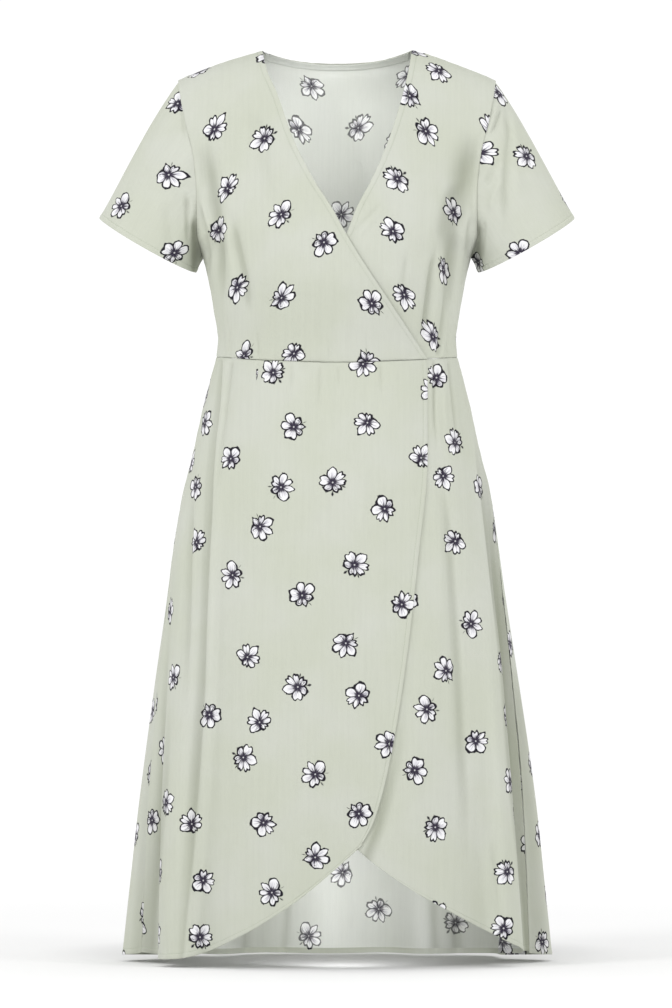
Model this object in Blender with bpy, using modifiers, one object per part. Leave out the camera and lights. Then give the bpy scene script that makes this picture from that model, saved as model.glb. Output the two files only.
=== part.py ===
"""A short-sleeved A-line wrap dress, filled out and hollow, as one thin wall for each cut piece.

Units are metres. +X is the wearer's left, -Y is the front and +Z is up. The origin lies midway
between the two neck points, where the shoulders hold the dress up. Heights are given as drops
below that origin. A turn goes round the body from 0 degrees at the right side seam, by the
front at 90, the left side seam at 180 and the back at 270, to 360.
"""

import math
from typing import Callable, NamedTuple

import bmesh
import bpy
import numpy as np

NAME = "a_line_dress"

WALL = 0.0012
SEAM = 0.0012         # between the mid-surfaces of two joined edges: their walls stay 0.3 mm apart
WRAP = 0.0024         # how far the under fronts lie behind the over fronts
WRAP_EASE = 0.030     # width over which an under front steps back
WRAP_LEAD = 0.012     # how far beside the over edge the middle of that step lies
SLEEVE_GAP = 0.0018   # from the armhole edge out to the sleeve's edge
FACING_INSET = WALL + 0.0004  # between the mid-surfaces of the back and the facing on it
FACING_TOP = 0.002    # the facing's upper and lower edge, as shares of the way down the bodice
FACING_BOTTOM = 0.105
FACING_END_TURN = 0.02   # the angle that keeps the facing's ends off the shoulder seams
NUDGE = 0.01          # a small step along a surface, to find which way it faces
NECK_HALF_WIDTH = 0.087
SHOULDER_HALF_WIDTH = 0.185
WAIST_DROP = 0.357
ROW_BEND = 1.7        # 1 would make the shoulder seams straight, 2 round
WAIST_DIP = 0.0075    # the waist seam sags by this at the centre front
NECK_ANGLE = math.acos(NECK_HALF_WIDTH / SHOULDER_HALF_WIDTH)
SHOULDER_PART = 1.0 / 6.0     # share of the back's columns that lies on each shoulder
FRONT_DEPTH_SHARE = 0.7       # the bodice's depth against its half width, for the gaps at its seams
BACK_DEPTH_SHARE = 0.6
WRAP_OVAL = (0.15, 0.12)      # half width and depth of the oval along which the under fronts step back
FULL_TURN = 2.0 * math.pi


class BodiceRow(NamedTuple):
    """One line across the bodice, from the shoulder seams down to the waist seam."""

    name: str
    side_drop: float      # at the armhole or side seam
    middle_drop: float    # where the row would cross the centre
    half_width: float
    front_side: float     # y of the front piece at the armhole or side seam
    front_middle: float   # y of the front piece at the centre
    back_side: float
    back_middle: float
    roundness: float      # 2 is a shallow bow, under 1 is a full tube
    neck_drop: float      # extra drop of the back piece at the centre back neck
    neck_bow: float       # how much further back the back piece lies there


BODICE = (
    BodiceRow("shoulder", 0.035, -0.0134, 0.1850, 0.004, 0.004, 0.004, 0.004, 1.0, 0.0267, 0.048),
    BodiceRow("over shoulder", 0.040, -0.0060, 0.1842, -0.013, -0.019, 0.022, 0.030, 1.1, 0.0245, 0.030),
    BodiceRow("below shoulder", 0.054, 0.0110, 0.1820, -0.027, -0.040, 0.036, 0.048, 1.3, 0.0200, 0.016),
    BodiceRow("yoke", 0.083, 0.0426, 0.1765, -0.040, -0.056, 0.049, 0.069, 1.6, 0.0104, 0.006),
    BodiceRow("chest", 0.125, 0.0937, 0.1668, -0.049, -0.073, 0.057, 0.085, 1.7, 0.0, 0.0),
    BodiceRow("mid armhole", 0.172, 0.1495, 0.1625, -0.049, -0.093, 0.055, 0.096, 1.5, 0.0, 0.0),
    BodiceRow("low armhole", 0.213, 0.201, 0.1618, -0.031, -0.110, 0.038, 0.103, 1.15, 0.0, 0.0),
    BodiceRow("armpit", 0.240, 0.239, 0.1555, 0.004, -0.118, 0.004, 0.106, 0.92, 0.0, 0.0),
    BodiceRow("bust", 0.262, 0.265, 0.1500, 0.004, -0.119, 0.004, 0.106, 0.88, 0.0, 0.0),
    BodiceRow("under bust", 0.300, 0.305, 0.1430, 0.003, -0.111, 0.003, 0.103, 0.88, 0.0, 0.0),
    BodiceRow("above waist", 0.336, 0.342, 0.1378, 0.002, -0.102, 0.002, 0.099, 0.88, 0.0, 0.0),
    BodiceRow("waist", 0.357, 0.3645, 0.1395, 0.002, -0.099, 0.002, 0.099, 0.88, 0.0, 0.0),
)
ARMPIT_SHARE = 7.0 / 11.0   # the armpit row's place among the eleven steps down to the waist
WAIST_DIP_GROWTH = 4        # only the bodice back's lowest rows are lifted to a level waist


class SkirtRow(NamedTuple):
    """One level line round the skirt, before its folds."""

    name: str
    drop: float
    half_width: float
    front: float
    back: float


SKIRT = (
    SkirtRow("waist", 0.357, 0.1395, 0.101, 0.098),
    SkirtRow("high hip", 0.407, 0.1525, 0.116, 0.117),
    SkirtRow("hip", 0.465, 0.1655, 0.129, 0.134),
    SkirtRow("low hip", 0.523, 0.1800, 0.138, 0.146),
    SkirtRow("thigh", 0.639, 0.1985, 0.149, 0.160),
    SkirtRow("above knee", 0.755, 0.2160, 0.158, 0.171),
    SkirtRow("knee", 0.871, 0.2315, 0.165, 0.180),
    SkirtRow("below knee", 0.988, 0.2435, 0.171, 0.187),
    SkirtRow("hem", 1.056, 0.2500, 0.174, 0.191),
)
SKIRT_ROUNDNESS = 0.90
SKIRT_MIDDLE_Y = 0.002
SIDE_HEM_DROP = 1.048
BACK_HEM_DROP = 1.059


class Fold(NamedTuple):
    """One crest or trough of the skirt: where it lies and how far it moves the hem."""

    name: str
    turn: float     # degrees round the skirt
    out: float      # outward at the hem
    along: float    # forward round the skirt at the hem
    start: float    # the drop at which it begins


FOLDS = (
    Fold("right side seam", 0, -0.023, 0.010, 0.58),
    Fold("right inner turn", 10, -0.047, 0.022, 0.58),
    Fold("right outer turn", 20, -0.019, 0.026, 0.56),
    Fold("right pipe crest", 31, -0.004, 0.026, 0.50),
    Fold("beside the right pipe", 46, -0.015, 0.014, 0.50),
    Fold("right front", 62, -0.002, 0.003, 0.45),
    Fold("front", 90, 0.001, 0.000, 0.45),
    Fold("left front", 120, 0.000, -0.002, 0.45),
    Fold("beside the left pipe", 136, -0.010, -0.010, 0.46),
    Fold("left pipe crest", 148, 0.002, -0.018, 0.46),
    Fold("left outer turn", 157, -0.007, -0.017, 0.48),
    Fold("left pipe back", 163, -0.025, -0.025, 0.48),
    Fold("left inner turn", 168, -0.048, -0.033, 0.48),
    Fold("behind the left turn", 173, -0.052, -0.024, 0.48),
    Fold("left side seam", 180, -0.026, -0.014, 0.50),
    Fold("left side flare", 192, 0.004, -0.010, 0.50),
    Fold("left back trough", 209, -0.028, 0.000, 0.52),
    Fold("left back crest", 227, 0.011, 0.000, 0.46),
    Fold("left back hollow", 243, -0.020, 0.004, 0.50),
    Fold("centre back crest", 258, 0.008, 0.000, 0.46),
    Fold("centre back hollow", 273, -0.014, -0.002, 0.54),
    Fold("right back crest", 290, 0.010, 0.002, 0.48),
    Fold("right back hollow", 306, -0.022, 0.000, 0.50),
    Fold("right side crest", 321, 0.008, -0.002, 0.44),
    Fold("right side trough", 335, -0.024, 0.000, 0.56),
    Fold("right side flare", 348, 0.004, 0.010, 0.58),
)


FOLD_GROWTH = 1.25    # 1 would let a fold grow evenly down to the hem
FOLD_LIMIT = 1.05     # a fold's growth stops here, just below the back hem


class EdgeRow(NamedTuple):
    """Where the free edges of the two fronts cross one height."""

    name: str
    drop: float
    over: float     # x of the over front's edge
    under: float    # x of the under front's edge


NECKLINE = (
    EdgeRow("neck points", 0.000, -0.0870, 0.0870),
    EdgeRow("neckline", 0.025, -0.0812, 0.0828),
    EdgeRow("collarbone", 0.052, -0.0695, 0.0765),
    EdgeRow("upper chest", 0.100, -0.0530, 0.0620),
    EdgeRow("chest", 0.150, -0.0290, 0.0415),
    EdgeRow("above the crossing", 0.190, -0.0040, 0.0210),
    EdgeRow("neckline crossing", 0.217, 0.0105, 0.0105),
    EdgeRow("bust", 0.246, 0.0280, -0.0120),
    EdgeRow("under bust", 0.300, 0.0640, -0.0540),
    EdgeRow("waist", 0.361, 0.1050, -0.0950),
)

TULIP = (
    EdgeRow("waist", 0.361, 0.1050, -0.0950),
    EdgeRow("hip", 0.480, 0.1040, -0.0940),
    EdgeRow("low hip", 0.585, 0.0935, -0.0840),
    EdgeRow("thigh", 0.700, 0.0800, -0.0690),
    EdgeRow("knee", 0.820, 0.0605, -0.0430),
    EdgeRow("above the crossing hems", 0.890, 0.0420, -0.0080),
    EdgeRow("hem crossing", 0.919, 0.0270, 0.0200),
)


class HemRow(NamedTuple):
    """The tulip hem of a front skirt, from its side seam to the crossing."""

    name: str
    reach: float    # share of the way round, from the side seam to the crossing
    over: float     # drop of the over skirt's hem
    under: float    # drop of the under skirt's hem


HEMS = (
    HemRow("side seam", 0.00, 1.048, 1.046),
    HemRow("side", 0.20, 1.052, 1.046),
    HemRow("pipe", 0.36, 1.050, 1.034),
    HemRow("beside the pipe", 0.50, 1.041, 1.016),
    HemRow("lower curve", 0.66, 1.020, 0.996),
    HemRow("middle curve", 0.80, 0.987, 0.972),
    HemRow("upper curve", 0.91, 0.951, 0.946),
    HemRow("hem crossing", 1.00, 0.919, 0.919),
)

SLEEVE_TOP_CORNER = (0.2755, 0.006, -0.1950)    # the cuff's outer end
SLEEVE_INNER_CORNER = (0.1640, 0.006, -0.2580)  # the cuff's inner end, under the arm
CUFF_HALF_DEPTH = 0.056
CUFF_BACK_LIFT = 0.010   # the cuff's back is shorter by this
CUFF_FRONT_SAG = 0.006   # and its front is longer by this
CAP_FULLNESS = 0.005
CAP_SWELL = 6.75         # s (1 - s)(1 - s) times this is 1 at its highest, a third of the way down

CLOTH_COLOUR = (0.66, 0.70, 0.58)
FACING_COLOUR = (0.60, 0.64, 0.52)
CLOTH_ROUGHNESS = 0.85

BODICE_COLUMNS = 12
BODICE_STEPS = 14
BACK_COLUMNS = 18
SKIRT_COLUMNS = 24
SKIRT_STEPS = 17
SKIRT_BACK_COLUMNS = 27
SLEEVE_COLUMNS = 20
SLEEVE_STEPS = 7
FACING_COLUMNS = 12
FACING_STEPS = 2
HEM_SAMPLES = 400


def smooth(place, knots, values, rounded=False):
    """Read a smooth curve through (knots, values) at each place.

    It doesn't overshoot its values, unless it is rounded, which gives fuller crests and troughs.
    """
    knots = np.asarray(knots, dtype=float)
    values = np.asarray(values, dtype=float)
    spans = np.diff(knots)
    rises = np.diff(values) / spans
    before, after = rises[:-1], rises[1:]
    turning = before * after <= 0.0
    total = np.where(turning, 1.0, before + after)
    slopes = np.concatenate([rises[:1], np.where(turning, 0.0, 2.0 * before * after / total), rises[-1:]])
    if rounded:
        slopes = np.gradient(values, knots)
    cell = np.clip(np.searchsorted(knots, place) - 1, 0, len(spans) - 1)
    part = np.clip((place - knots[cell]) / spans[cell], 0.0, 1.0)
    ease = part * part * (3.0 - 2.0 * part)
    level = values[cell] * (1.0 - ease) + values[cell + 1] * ease
    bend = slopes[cell] * part * (1.0 - part) ** 2 - slopes[cell + 1] * part * part * (1.0 - part)
    return level + spans[cell] * bend


def column(table, name):
    """One named column of a table, as an array."""
    return np.array([getattr(row, name) for row in table], dtype=float)


def bodice_value(name, share):
    """A column of the bodice table, read between its rows."""
    return smooth(share, np.linspace(0.0, 1.0, len(BODICE)), column(BODICE, name))


def row_rise(across):
    """How far a row has gone from its side height to its middle height, by its reach across."""
    return 1.0 - np.abs(across) ** ROW_BEND


def bodice_point(face, angle, share):
    """A point of the bodice's front (face -1) or back (face +1).

    angle runs from 0 at the wearer's right armhole or side seam to pi at the left one, and
    share from 0 at the shoulder seams to 1 at the waist seam.
    """
    prefix = "front" if face < 0 else "back"
    bow = np.sin(angle)
    across = -np.cos(angle)
    side_y = bodice_value(prefix + "_side", share)
    middle_y = bodice_value(prefix + "_middle", share)
    side_drop = bodice_value("side_drop", share)
    middle_drop = bodice_value("middle_drop", share)
    if face > 0:
        middle_drop = middle_drop - WAIST_DIP * share ** WAIST_DIP_GROWTH
    x = across * bodice_value("half_width", share)
    y = side_y + (middle_y - side_y) * np.maximum(bow, 0.0) ** bodice_value("roundness", share)
    drop = side_drop + (middle_drop - side_drop) * row_rise(across)
    if face > 0:
        neck = np.maximum(1.0 - (across * SHOULDER_HALF_WIDTH / NECK_HALF_WIDTH) ** 2, 0.0)
        y = y + neck * bodice_value("neck_bow", share)
        drop = drop + neck * bodice_value("neck_drop", share)
    return np.stack([x, y + face * SEAM / 2.0, -drop], axis=-1)


def neckline_x(side, drop):
    """x of a bodice front's free edge at a drop: side -1 is the over front, +1 the under one."""
    return smooth(drop, column(NECKLINE, "drop"), column(NECKLINE, "over" if side < 0 else "under"))


def tulip_x(side, drop):
    """x of a front skirt's free edge at a drop: side -1 is the over front, +1 the under one."""
    return smooth(drop, column(TULIP, "drop"), column(TULIP, "over" if side < 0 else "under"))


def bodice_edge_angle(side, share):
    """The angle at which a front's neckline edge crosses the row at this share."""
    width = bodice_value("half_width", share)
    side_drop = bodice_value("side_drop", share)
    middle_drop = bodice_value("middle_drop", share)
    x = neckline_x(side, middle_drop)
    for _ in range(5):
        x = neckline_x(side, side_drop + (middle_drop - side_drop) * row_rise(x / width))
    return np.arccos(np.clip(-x / width, -1.0, 1.0))


def outward_of(turn, width, depth):
    """The level direction out of an oval of this width and depth, at a turn round it."""
    away = np.stack([-np.cos(turn) / width, -np.sin(turn) / depth], axis=-1)
    return away / np.linalg.norm(away, axis=-1, keepdims=True)


def skirt_value(name, drop):
    """A column of the skirt table, read between its rows."""
    return smooth(drop, column(SKIRT, "drop"), column(SKIRT, name))


def fold_value(name, turn):
    """A column of the fold table, read round the skirt."""
    turns = np.radians(column(FOLDS, "turn"))
    values = column(FOLDS, name)
    knots = np.concatenate([turns[-3:] - FULL_TURN, turns, turns[:3] + FULL_TURN])
    return smooth(turn, knots, np.concatenate([values[-3:], values, values[:3]]), rounded=True)


def skirt_point(turn, drop):
    """A point of the skirt at a turn round the body and a drop below the neck."""
    front = np.sin(turn) > 0.0
    width = skirt_value("half_width", drop)
    depth = np.where(front, skirt_value("front", drop), skirt_value("back", drop))
    bow = np.abs(np.sin(turn)) ** SKIRT_ROUNDNESS * np.where(front, -1.0, 1.0)
    x = -np.cos(turn) * width
    y = SKIRT_MIDDLE_Y + bow * depth
    outward = outward_of(turn, width, depth)
    start = fold_value("start", turn)
    growth = np.clip((drop - start) / (BACK_HEM_DROP - start), 0.0, FOLD_LIMIT) ** FOLD_GROWTH
    out = growth * fold_value("out", turn)
    along = growth * fold_value("along", turn)
    x = x + outward[..., 0] * out - outward[..., 1] * along
    y = y + outward[..., 1] * out + outward[..., 0] * along
    return np.stack([x, y, -drop + 0.0 * x], axis=-1)


def side_gap(depth, roundness):
    """The angle that leaves half a seam's gap at a side seam."""
    return (SEAM / 2.0 / depth) ** (1.0 / roundness)


def step_back(points, turn, over_edge):
    """Move an under front's points behind the over front where its edge covers them."""
    covered = over_edge(-1, -points[..., 2]) - points[..., 0]
    cover = np.clip(0.5 + (covered + WRAP_LEAD) / WRAP_EASE, 0.0, 1.0)
    ease = cover * cover * (3.0 - 2.0 * cover)
    moved = points.copy()
    moved[..., :2] -= outward_of(turn, *WRAP_OVAL) * (WRAP * ease)[..., None]
    return moved


def bodice_front(side):
    """Placing function of a bodice front: side -1 is the over one, +1 the under one."""
    def place(across, down):
        gap = side_gap(bodice_value("half_width", down) * FRONT_DEPTH_SHARE, bodice_value("roundness", down))
        edge = bodice_edge_angle(side, down)
        reach = edge if side < 0 else np.pi - edge
        angle = gap + (reach - gap) * across
        angle = angle if side < 0 else np.pi - angle
        points = bodice_point(-1, angle, down)
        return points if side < 0 else step_back(points, angle, neckline_x)
    return place


def bodice_back(across, down):
    """Placing function of the bodice back: it keeps a column on each neck point."""
    fractions = [0.0, SHOULDER_PART, 1.0 - SHOULDER_PART, 1.0]
    gap = side_gap(bodice_value("half_width", down) * BACK_DEPTH_SHARE, bodice_value("roundness", down))
    angle = np.interp(across, fractions, [0.0, NECK_ANGLE, np.pi - NECK_ANGLE, np.pi])
    return bodice_point(1, gap + angle * (np.pi - 2.0 * gap) / np.pi, down)


def back_facet_point(angle, share):
    """A point of the bodice back, straight between the rows of its own grid."""
    upper_row = np.floor(share * BODICE_STEPS) / BODICE_STEPS
    part = ((share - upper_row) * BODICE_STEPS)[..., None]
    upper = bodice_point(1, angle, upper_row)
    lower = bodice_point(1, angle, upper_row + 1.0 / BODICE_STEPS)
    return upper * (1.0 - part) + lower * part


def neck_facing(across, down):
    """Placing function of the narrow facing inside the back neckline: it keeps a row on the back's."""
    end_angle = NECK_ANGLE + FACING_END_TURN
    angle = end_angle + (np.pi - 2.0 * end_angle) * across
    share = np.interp(down, [0.0, 0.5, 1.0], [FACING_TOP, 1.0 / BODICE_STEPS, FACING_BOTTOM])
    points = back_facet_point(angle, share)
    below = back_facet_point(angle, share + NUDGE) - points
    beside = back_facet_point(angle + NUDGE, share) - points
    inward = np.cross(below, beside)
    inward = inward / np.linalg.norm(inward, axis=-1, keepdims=True)
    inward = inward * np.where(inward[..., 1:2] > 0.0, -1.0, 1.0)
    return points + inward * FACING_INSET


def even_reach(curve):
    """Shares of a curve's own parameter at which its length grows evenly."""
    samples = np.linspace(0.0, 1.0, HEM_SAMPLES)
    points = curve(samples)
    lengths = np.concatenate([[0.0], np.cumsum(np.linalg.norm(np.diff(points, axis=0), axis=1))])
    return lambda share: np.interp(share, lengths / lengths[-1], samples)


def waist_start(turn):
    """The drop of the skirt's waist edge at a turn: it sags at the centre front."""
    return WAIST_DROP + SEAM + WAIST_DIP * row_rise(np.cos(turn)) * (np.sin(turn) > 0.0)


def skirt_front(side):
    """Placing function of a front skirt: side -1 is the over one, +1 the under one."""
    hem = "over" if side < 0 else "under"

    def edge_turn(drop):
        width = skirt_value("half_width", drop)
        turn = np.arccos(np.clip(-tulip_x(side, drop) / width, -1.0, 1.0))
        return turn if side < 0 else np.pi - turn

    corner = float(column(HEMS, hem)[-1])
    corner_turn = float(edge_turn(corner))

    def hem_curve(reach):
        turn = corner_turn * reach
        return skirt_point(turn if side < 0 else np.pi - turn,
                           smooth(reach, column(HEMS, "reach"), column(HEMS, hem)))

    spread = even_reach(hem_curve)

    def place(across, down):
        reach = spread(across)
        edge_start = WAIST_DROP + SEAM + 0.5 * WAIST_DIP
        edge_drop = edge_start + (corner - edge_start) * down
        gap = side_gap(skirt_value("front", edge_drop), SKIRT_ROUNDNESS)
        turn = gap + (edge_turn(edge_drop) - gap) * reach
        bottom = smooth(reach, column(HEMS, "reach"), column(HEMS, hem))
        top = waist_start(turn)
        drop = top + (bottom - top) * down
        turn = turn if side < 0 else np.pi - turn
        points = skirt_point(turn, drop)
        return points if side < 0 else step_back(points, turn, tulip_x)
    return place


def skirt_back(across, down):
    """Placing function of the skirt back."""
    spread = even_reach(lambda share: skirt_point(np.pi * (1.0 + share), 0.0 * share + BACK_HEM_DROP))
    reach = spread(across)
    bottom = SIDE_HEM_DROP + (BACK_HEM_DROP - SIDE_HEM_DROP) * np.sin(np.pi * reach) ** 0.5
    drop = WAIST_DROP + SEAM + (bottom - WAIST_DROP - SEAM) * down
    gap = side_gap(skirt_value("back", drop), SKIRT_ROUNDNESS)
    return skirt_point(np.pi + gap + (np.pi - 2.0 * gap) * reach, drop)


def armhole_loop(side):
    """The armhole as a closed line: from the armpit up the back and down the front again."""
    share = np.linspace(0.0, ARMPIT_SHARE, HEM_SAMPLES // 2)
    angle = np.full_like(share, 0.0 if side < 0 else math.pi)
    front = bodice_point(-1, angle, share)
    back = bodice_point(1, angle, share)
    armpit = (front[-1:] + back[-1:]) / 2.0
    return np.concatenate([armpit, back[-2::-1], front[:-1], armpit])


def sleeve(side):
    """Placing function of a sleeve: across goes round it from the underarm seam."""
    loop = armhole_loop(side)
    spread = even_reach(lambda share: np.stack(
        [np.interp(share, np.linspace(0.0, 1.0, len(loop)), loop[:, axis]) for axis in range(3)], axis=-1))
    mirror = np.array([side, 1.0, 1.0])
    top = np.array(SLEEVE_TOP_CORNER) * mirror
    inner = np.array(SLEEVE_INNER_CORNER) * mirror
    middle = (top + inner) / 2.0
    armhole_middle = loop.mean(axis=0)
    along = (middle - armhole_middle) / np.linalg.norm(middle - armhole_middle)

    def place(across, down):
        share = spread(across)
        start = np.stack([np.interp(share, np.linspace(0.0, 1.0, len(loop)), loop[:, axis])
                          for axis in range(3)], axis=-1)
        angle = FULL_TURN * across[..., None]
        cuff = middle - (top - middle) * np.cos(angle)
        cuff = cuff + np.array([0.0, CUFF_HALF_DEPTH, 0.0]) * np.sin(angle)
        cuff = cuff - along * CUFF_BACK_LIFT * np.maximum(np.sin(angle), 0.0)
        cuff = cuff + along * CUFF_FRONT_SAG * np.maximum(-np.sin(angle), 0.0)
        begin = start + np.array([side * SLEEVE_GAP, 0.0, 0.0])
        outward = start - armhole_middle
        outward = outward / np.linalg.norm(outward, axis=-1, keepdims=True)
        share_down = down[..., None]
        swell = CAP_SWELL * share_down * (1.0 - share_down) ** 2
        fullness = CAP_FULLNESS * swell * (0.5 - 0.5 * np.cos(angle))
        return begin * (1.0 - share_down) + cuff * share_down + outward * fullness
    return place


def make_material(name: str, colour: tuple):
    """A plain cloth material."""
    material = bpy.data.materials.new(name)
    material.use_nodes = True
    shader = material.node_tree.nodes["Principled BSDF"]
    shader.inputs["Base Color"].default_value = (*colour, 1.0)
    shader.inputs["Roughness"].default_value = CLOTH_ROUGHNESS
    shader.inputs["Metallic"].default_value = 0.0
    return material


def make_panel(name: str, place: Callable, columns: int, steps: int, colour=CLOTH_COLOUR, closed=False):
    """Bend a flat grid into one cut piece and give it the cloth's thickness."""
    sheet = bmesh.new()
    bmesh.ops.create_grid(sheet, x_segments=columns, y_segments=steps, size=0.5)
    flat = np.array([vertex.co[:] for vertex in sheet.verts])
    bent = place(flat[:, 0] + 0.5, 0.5 - flat[:, 1])
    for vertex, point in zip(sheet.verts, bent):
        vertex.co = point
    if closed:
        bmesh.ops.remove_doubles(sheet, verts=sheet.verts, dist=1e-5)
    mesh = bpy.data.meshes.new(name)
    sheet.to_mesh(mesh)
    sheet.free()
    mesh.materials.append(make_material(name + "_cloth", colour))
    mesh.shade_smooth()
    panel = bpy.data.objects.new(name, mesh)
    bpy.data.collections[NAME].objects.link(panel)
    thickness = panel.modifiers.new("cloth thickness", "SOLIDIFY")
    thickness.thickness = WALL
    thickness.offset = 0.0
    thickness.use_even_offset = True
    return panel


def clear_scene():
    """Remove what the scene holds and make the dress's own collection."""
    for thing in list(bpy.data.objects):
        bpy.data.objects.remove(thing)
    collection = bpy.data.collections.new(NAME)
    bpy.context.scene.collection.children.link(collection)


def main():
    """Build the nine cut pieces."""
    clear_scene()
    make_panel("bodice_front_over", bodice_front(-1), BODICE_COLUMNS, BODICE_STEPS)
    make_panel("bodice_front_under", bodice_front(1), BODICE_COLUMNS, BODICE_STEPS)
    make_panel("bodice_back", bodice_back, BACK_COLUMNS, BODICE_STEPS)
    make_panel("back_neck_facing", neck_facing, FACING_COLUMNS, FACING_STEPS, FACING_COLOUR)
    make_panel("sleeve_right", sleeve(-1), SLEEVE_COLUMNS, SLEEVE_STEPS, closed=True)
    make_panel("sleeve_left", sleeve(1), SLEEVE_COLUMNS, SLEEVE_STEPS, closed=True)
    make_panel("skirt_front_over", skirt_front(-1), SKIRT_COLUMNS, SKIRT_STEPS)
    make_panel("skirt_front_under", skirt_front(1), SKIRT_COLUMNS, SKIRT_STEPS)
    make_panel("skirt_back", skirt_back, SKIRT_BACK_COLUMNS, SKIRT_STEPS)


if __name__ == "__main__":
    main()
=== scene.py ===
"""The looks of a short-sleeved A-line wrap dress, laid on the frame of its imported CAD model.

Units are metres, in the CAD's frame: +X is the wearer's left, -Y the front and +Z up, and the
origin lies midway between the two neck points. A drop is a depth below that origin. A turn goes
round the body from 0 at the wearer's right side seam, by the front, to pi at the left one, and
on by the back. The flat place of a point is where it lies on the cloth before it is sewn: u
across from the straight grain line and v down it.
"""

import logging
import math
from dataclasses import dataclass, field
from enum import Enum, IntEnum
from functools import partial, partialmethod
from typing import Callable, Sequence

import bpy
import numpy as np
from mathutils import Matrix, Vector


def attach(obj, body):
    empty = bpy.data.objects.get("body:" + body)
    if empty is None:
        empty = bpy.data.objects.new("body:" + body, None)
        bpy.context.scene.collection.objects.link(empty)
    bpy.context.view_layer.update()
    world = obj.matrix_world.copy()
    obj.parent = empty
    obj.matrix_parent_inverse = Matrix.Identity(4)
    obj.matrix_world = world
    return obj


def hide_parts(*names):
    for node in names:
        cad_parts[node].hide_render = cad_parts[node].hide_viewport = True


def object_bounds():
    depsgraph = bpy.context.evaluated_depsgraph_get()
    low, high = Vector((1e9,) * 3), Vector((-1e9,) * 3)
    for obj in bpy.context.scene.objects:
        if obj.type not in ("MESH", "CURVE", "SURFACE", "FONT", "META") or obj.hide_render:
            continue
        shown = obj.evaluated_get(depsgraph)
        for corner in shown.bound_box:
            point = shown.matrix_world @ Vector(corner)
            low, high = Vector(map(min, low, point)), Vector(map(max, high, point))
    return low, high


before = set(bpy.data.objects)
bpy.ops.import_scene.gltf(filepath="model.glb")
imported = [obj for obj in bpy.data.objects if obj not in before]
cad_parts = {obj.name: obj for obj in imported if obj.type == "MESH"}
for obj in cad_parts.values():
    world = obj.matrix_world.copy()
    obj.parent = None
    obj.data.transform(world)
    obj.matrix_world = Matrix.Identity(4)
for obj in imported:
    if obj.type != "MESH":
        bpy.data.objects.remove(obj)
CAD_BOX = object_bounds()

LOG = logging.getLogger("dress")
Array = np.ndarray
Place = tuple[float, float, float]
Trace = Callable[[Array, Array], tuple[Array, Array]]
Shift = Callable[[Array, Array], Array]

NECK_HALF_WIDTH = 0.087
SHOULDER_HALF_WIDTH = 0.185
NECK_ANGLE = math.acos(NECK_HALF_WIDTH / SHOULDER_HALF_WIDTH)
WAIST_DROP = 0.357
WAIST_DIP = 0.0075        # the waist seam sags by this at the centre front
WAIST_DIP_GROWTH = 4      # only the bodice back's lowest rows are lifted to a level waist
ROW_BEND = 1.7            # how round the bodice's rows are; 1 would make the shoulders straight
SEAM = 0.0003             # between the mid-surfaces of two sewn edges
WRAP = 0.0024             # how far the under fronts lie behind the over fronts
WRAP_EASE = 0.030         # width over which an under front steps back
WRAP_LEAD = 0.012         # how far beside the over edge the middle of that step lies
WRAP_OVAL = (0.15, 0.12)  # half width and depth of the oval along which it steps back
SKIRT_ROUNDNESS = 0.90
SKIRT_MIDDLE_Y = 0.002
SIDE_HEM_DROP = 1.048
BACK_HEM_DROP = 1.059
FOLD_GROWTH = 1.25        # 1 would let a fold grow evenly down to the hem
FOLD_LIMIT = 1.05
FULL_TURN = 2.0 * math.pi
SAMPLES = 400             # points on a line whose length is measured


class Side(IntEnum):
    """The wearer's right or left, as the sign of x. The right front lies over the left one."""

    RIGHT = -1
    LEFT = 1


class Face(IntEnum):
    """The front or the back, as the sign of y."""

    FRONT = -1
    BACK = 1


class Edge(Enum):
    """An edge of a panel. Across runs from its left edge to its right one, down from top to bottom."""

    LEFT = "left"
    RIGHT = "right"
    TOP = "top"
    BOTTOM = "bottom"


WRAPPED = {Side.RIGHT: "over", Side.LEFT: "under"}     # the fronts' columns in the tables


def from_side(side: Side, turn: Array) -> Array:
    """Change a turn counted from a side's own seam to one round the body, or back."""
    return turn if side is Side.RIGHT else math.pi - turn


# ---------------- curves and tables


def smooth(place: Array, knots: Array, values: Array, rounded: bool = False) -> Array:
    """Read a smooth curve through points.

    Args:
        place: Where to read it.
        knots: The points' places, in rising order.
        values: The points' values.
        rounded: Fuller crests and troughs, where the plain curve never overshoots its values.

    Returns:
        The curve's values.
    """
    spans = np.diff(knots)
    rises = np.diff(values) / spans
    before, after = rises[:-1], rises[1:]
    turning = before * after <= 0.0
    total = np.where(turning, 1.0, before + after)
    slopes = np.concatenate([rises[:1], np.where(turning, 0.0, 2.0 * before * after / total), rises[-1:]])
    if rounded:
        slopes = np.gradient(values, knots)
    cell = np.clip(np.searchsorted(knots, place) - 1, 0, len(spans) - 1)
    part = np.clip((place - knots[cell]) / spans[cell], 0.0, 1.0)
    ease = part * part * (3.0 - 2.0 * part)
    bend = slopes[cell] * part * (1.0 - part) ** 2 - slopes[cell + 1] * part * part * (1.0 - part)
    return values[cell] * (1.0 - ease) + values[cell + 1] * ease + spans[cell] * bend


def ease_between(value: Array, low: float, high: float) -> Array:
    """A soft step from 0 at low to 1 at high."""
    part = np.clip((value - low) / (high - low), 0.0, 1.0)
    return part * part * (3.0 - 2.0 * part)


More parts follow.
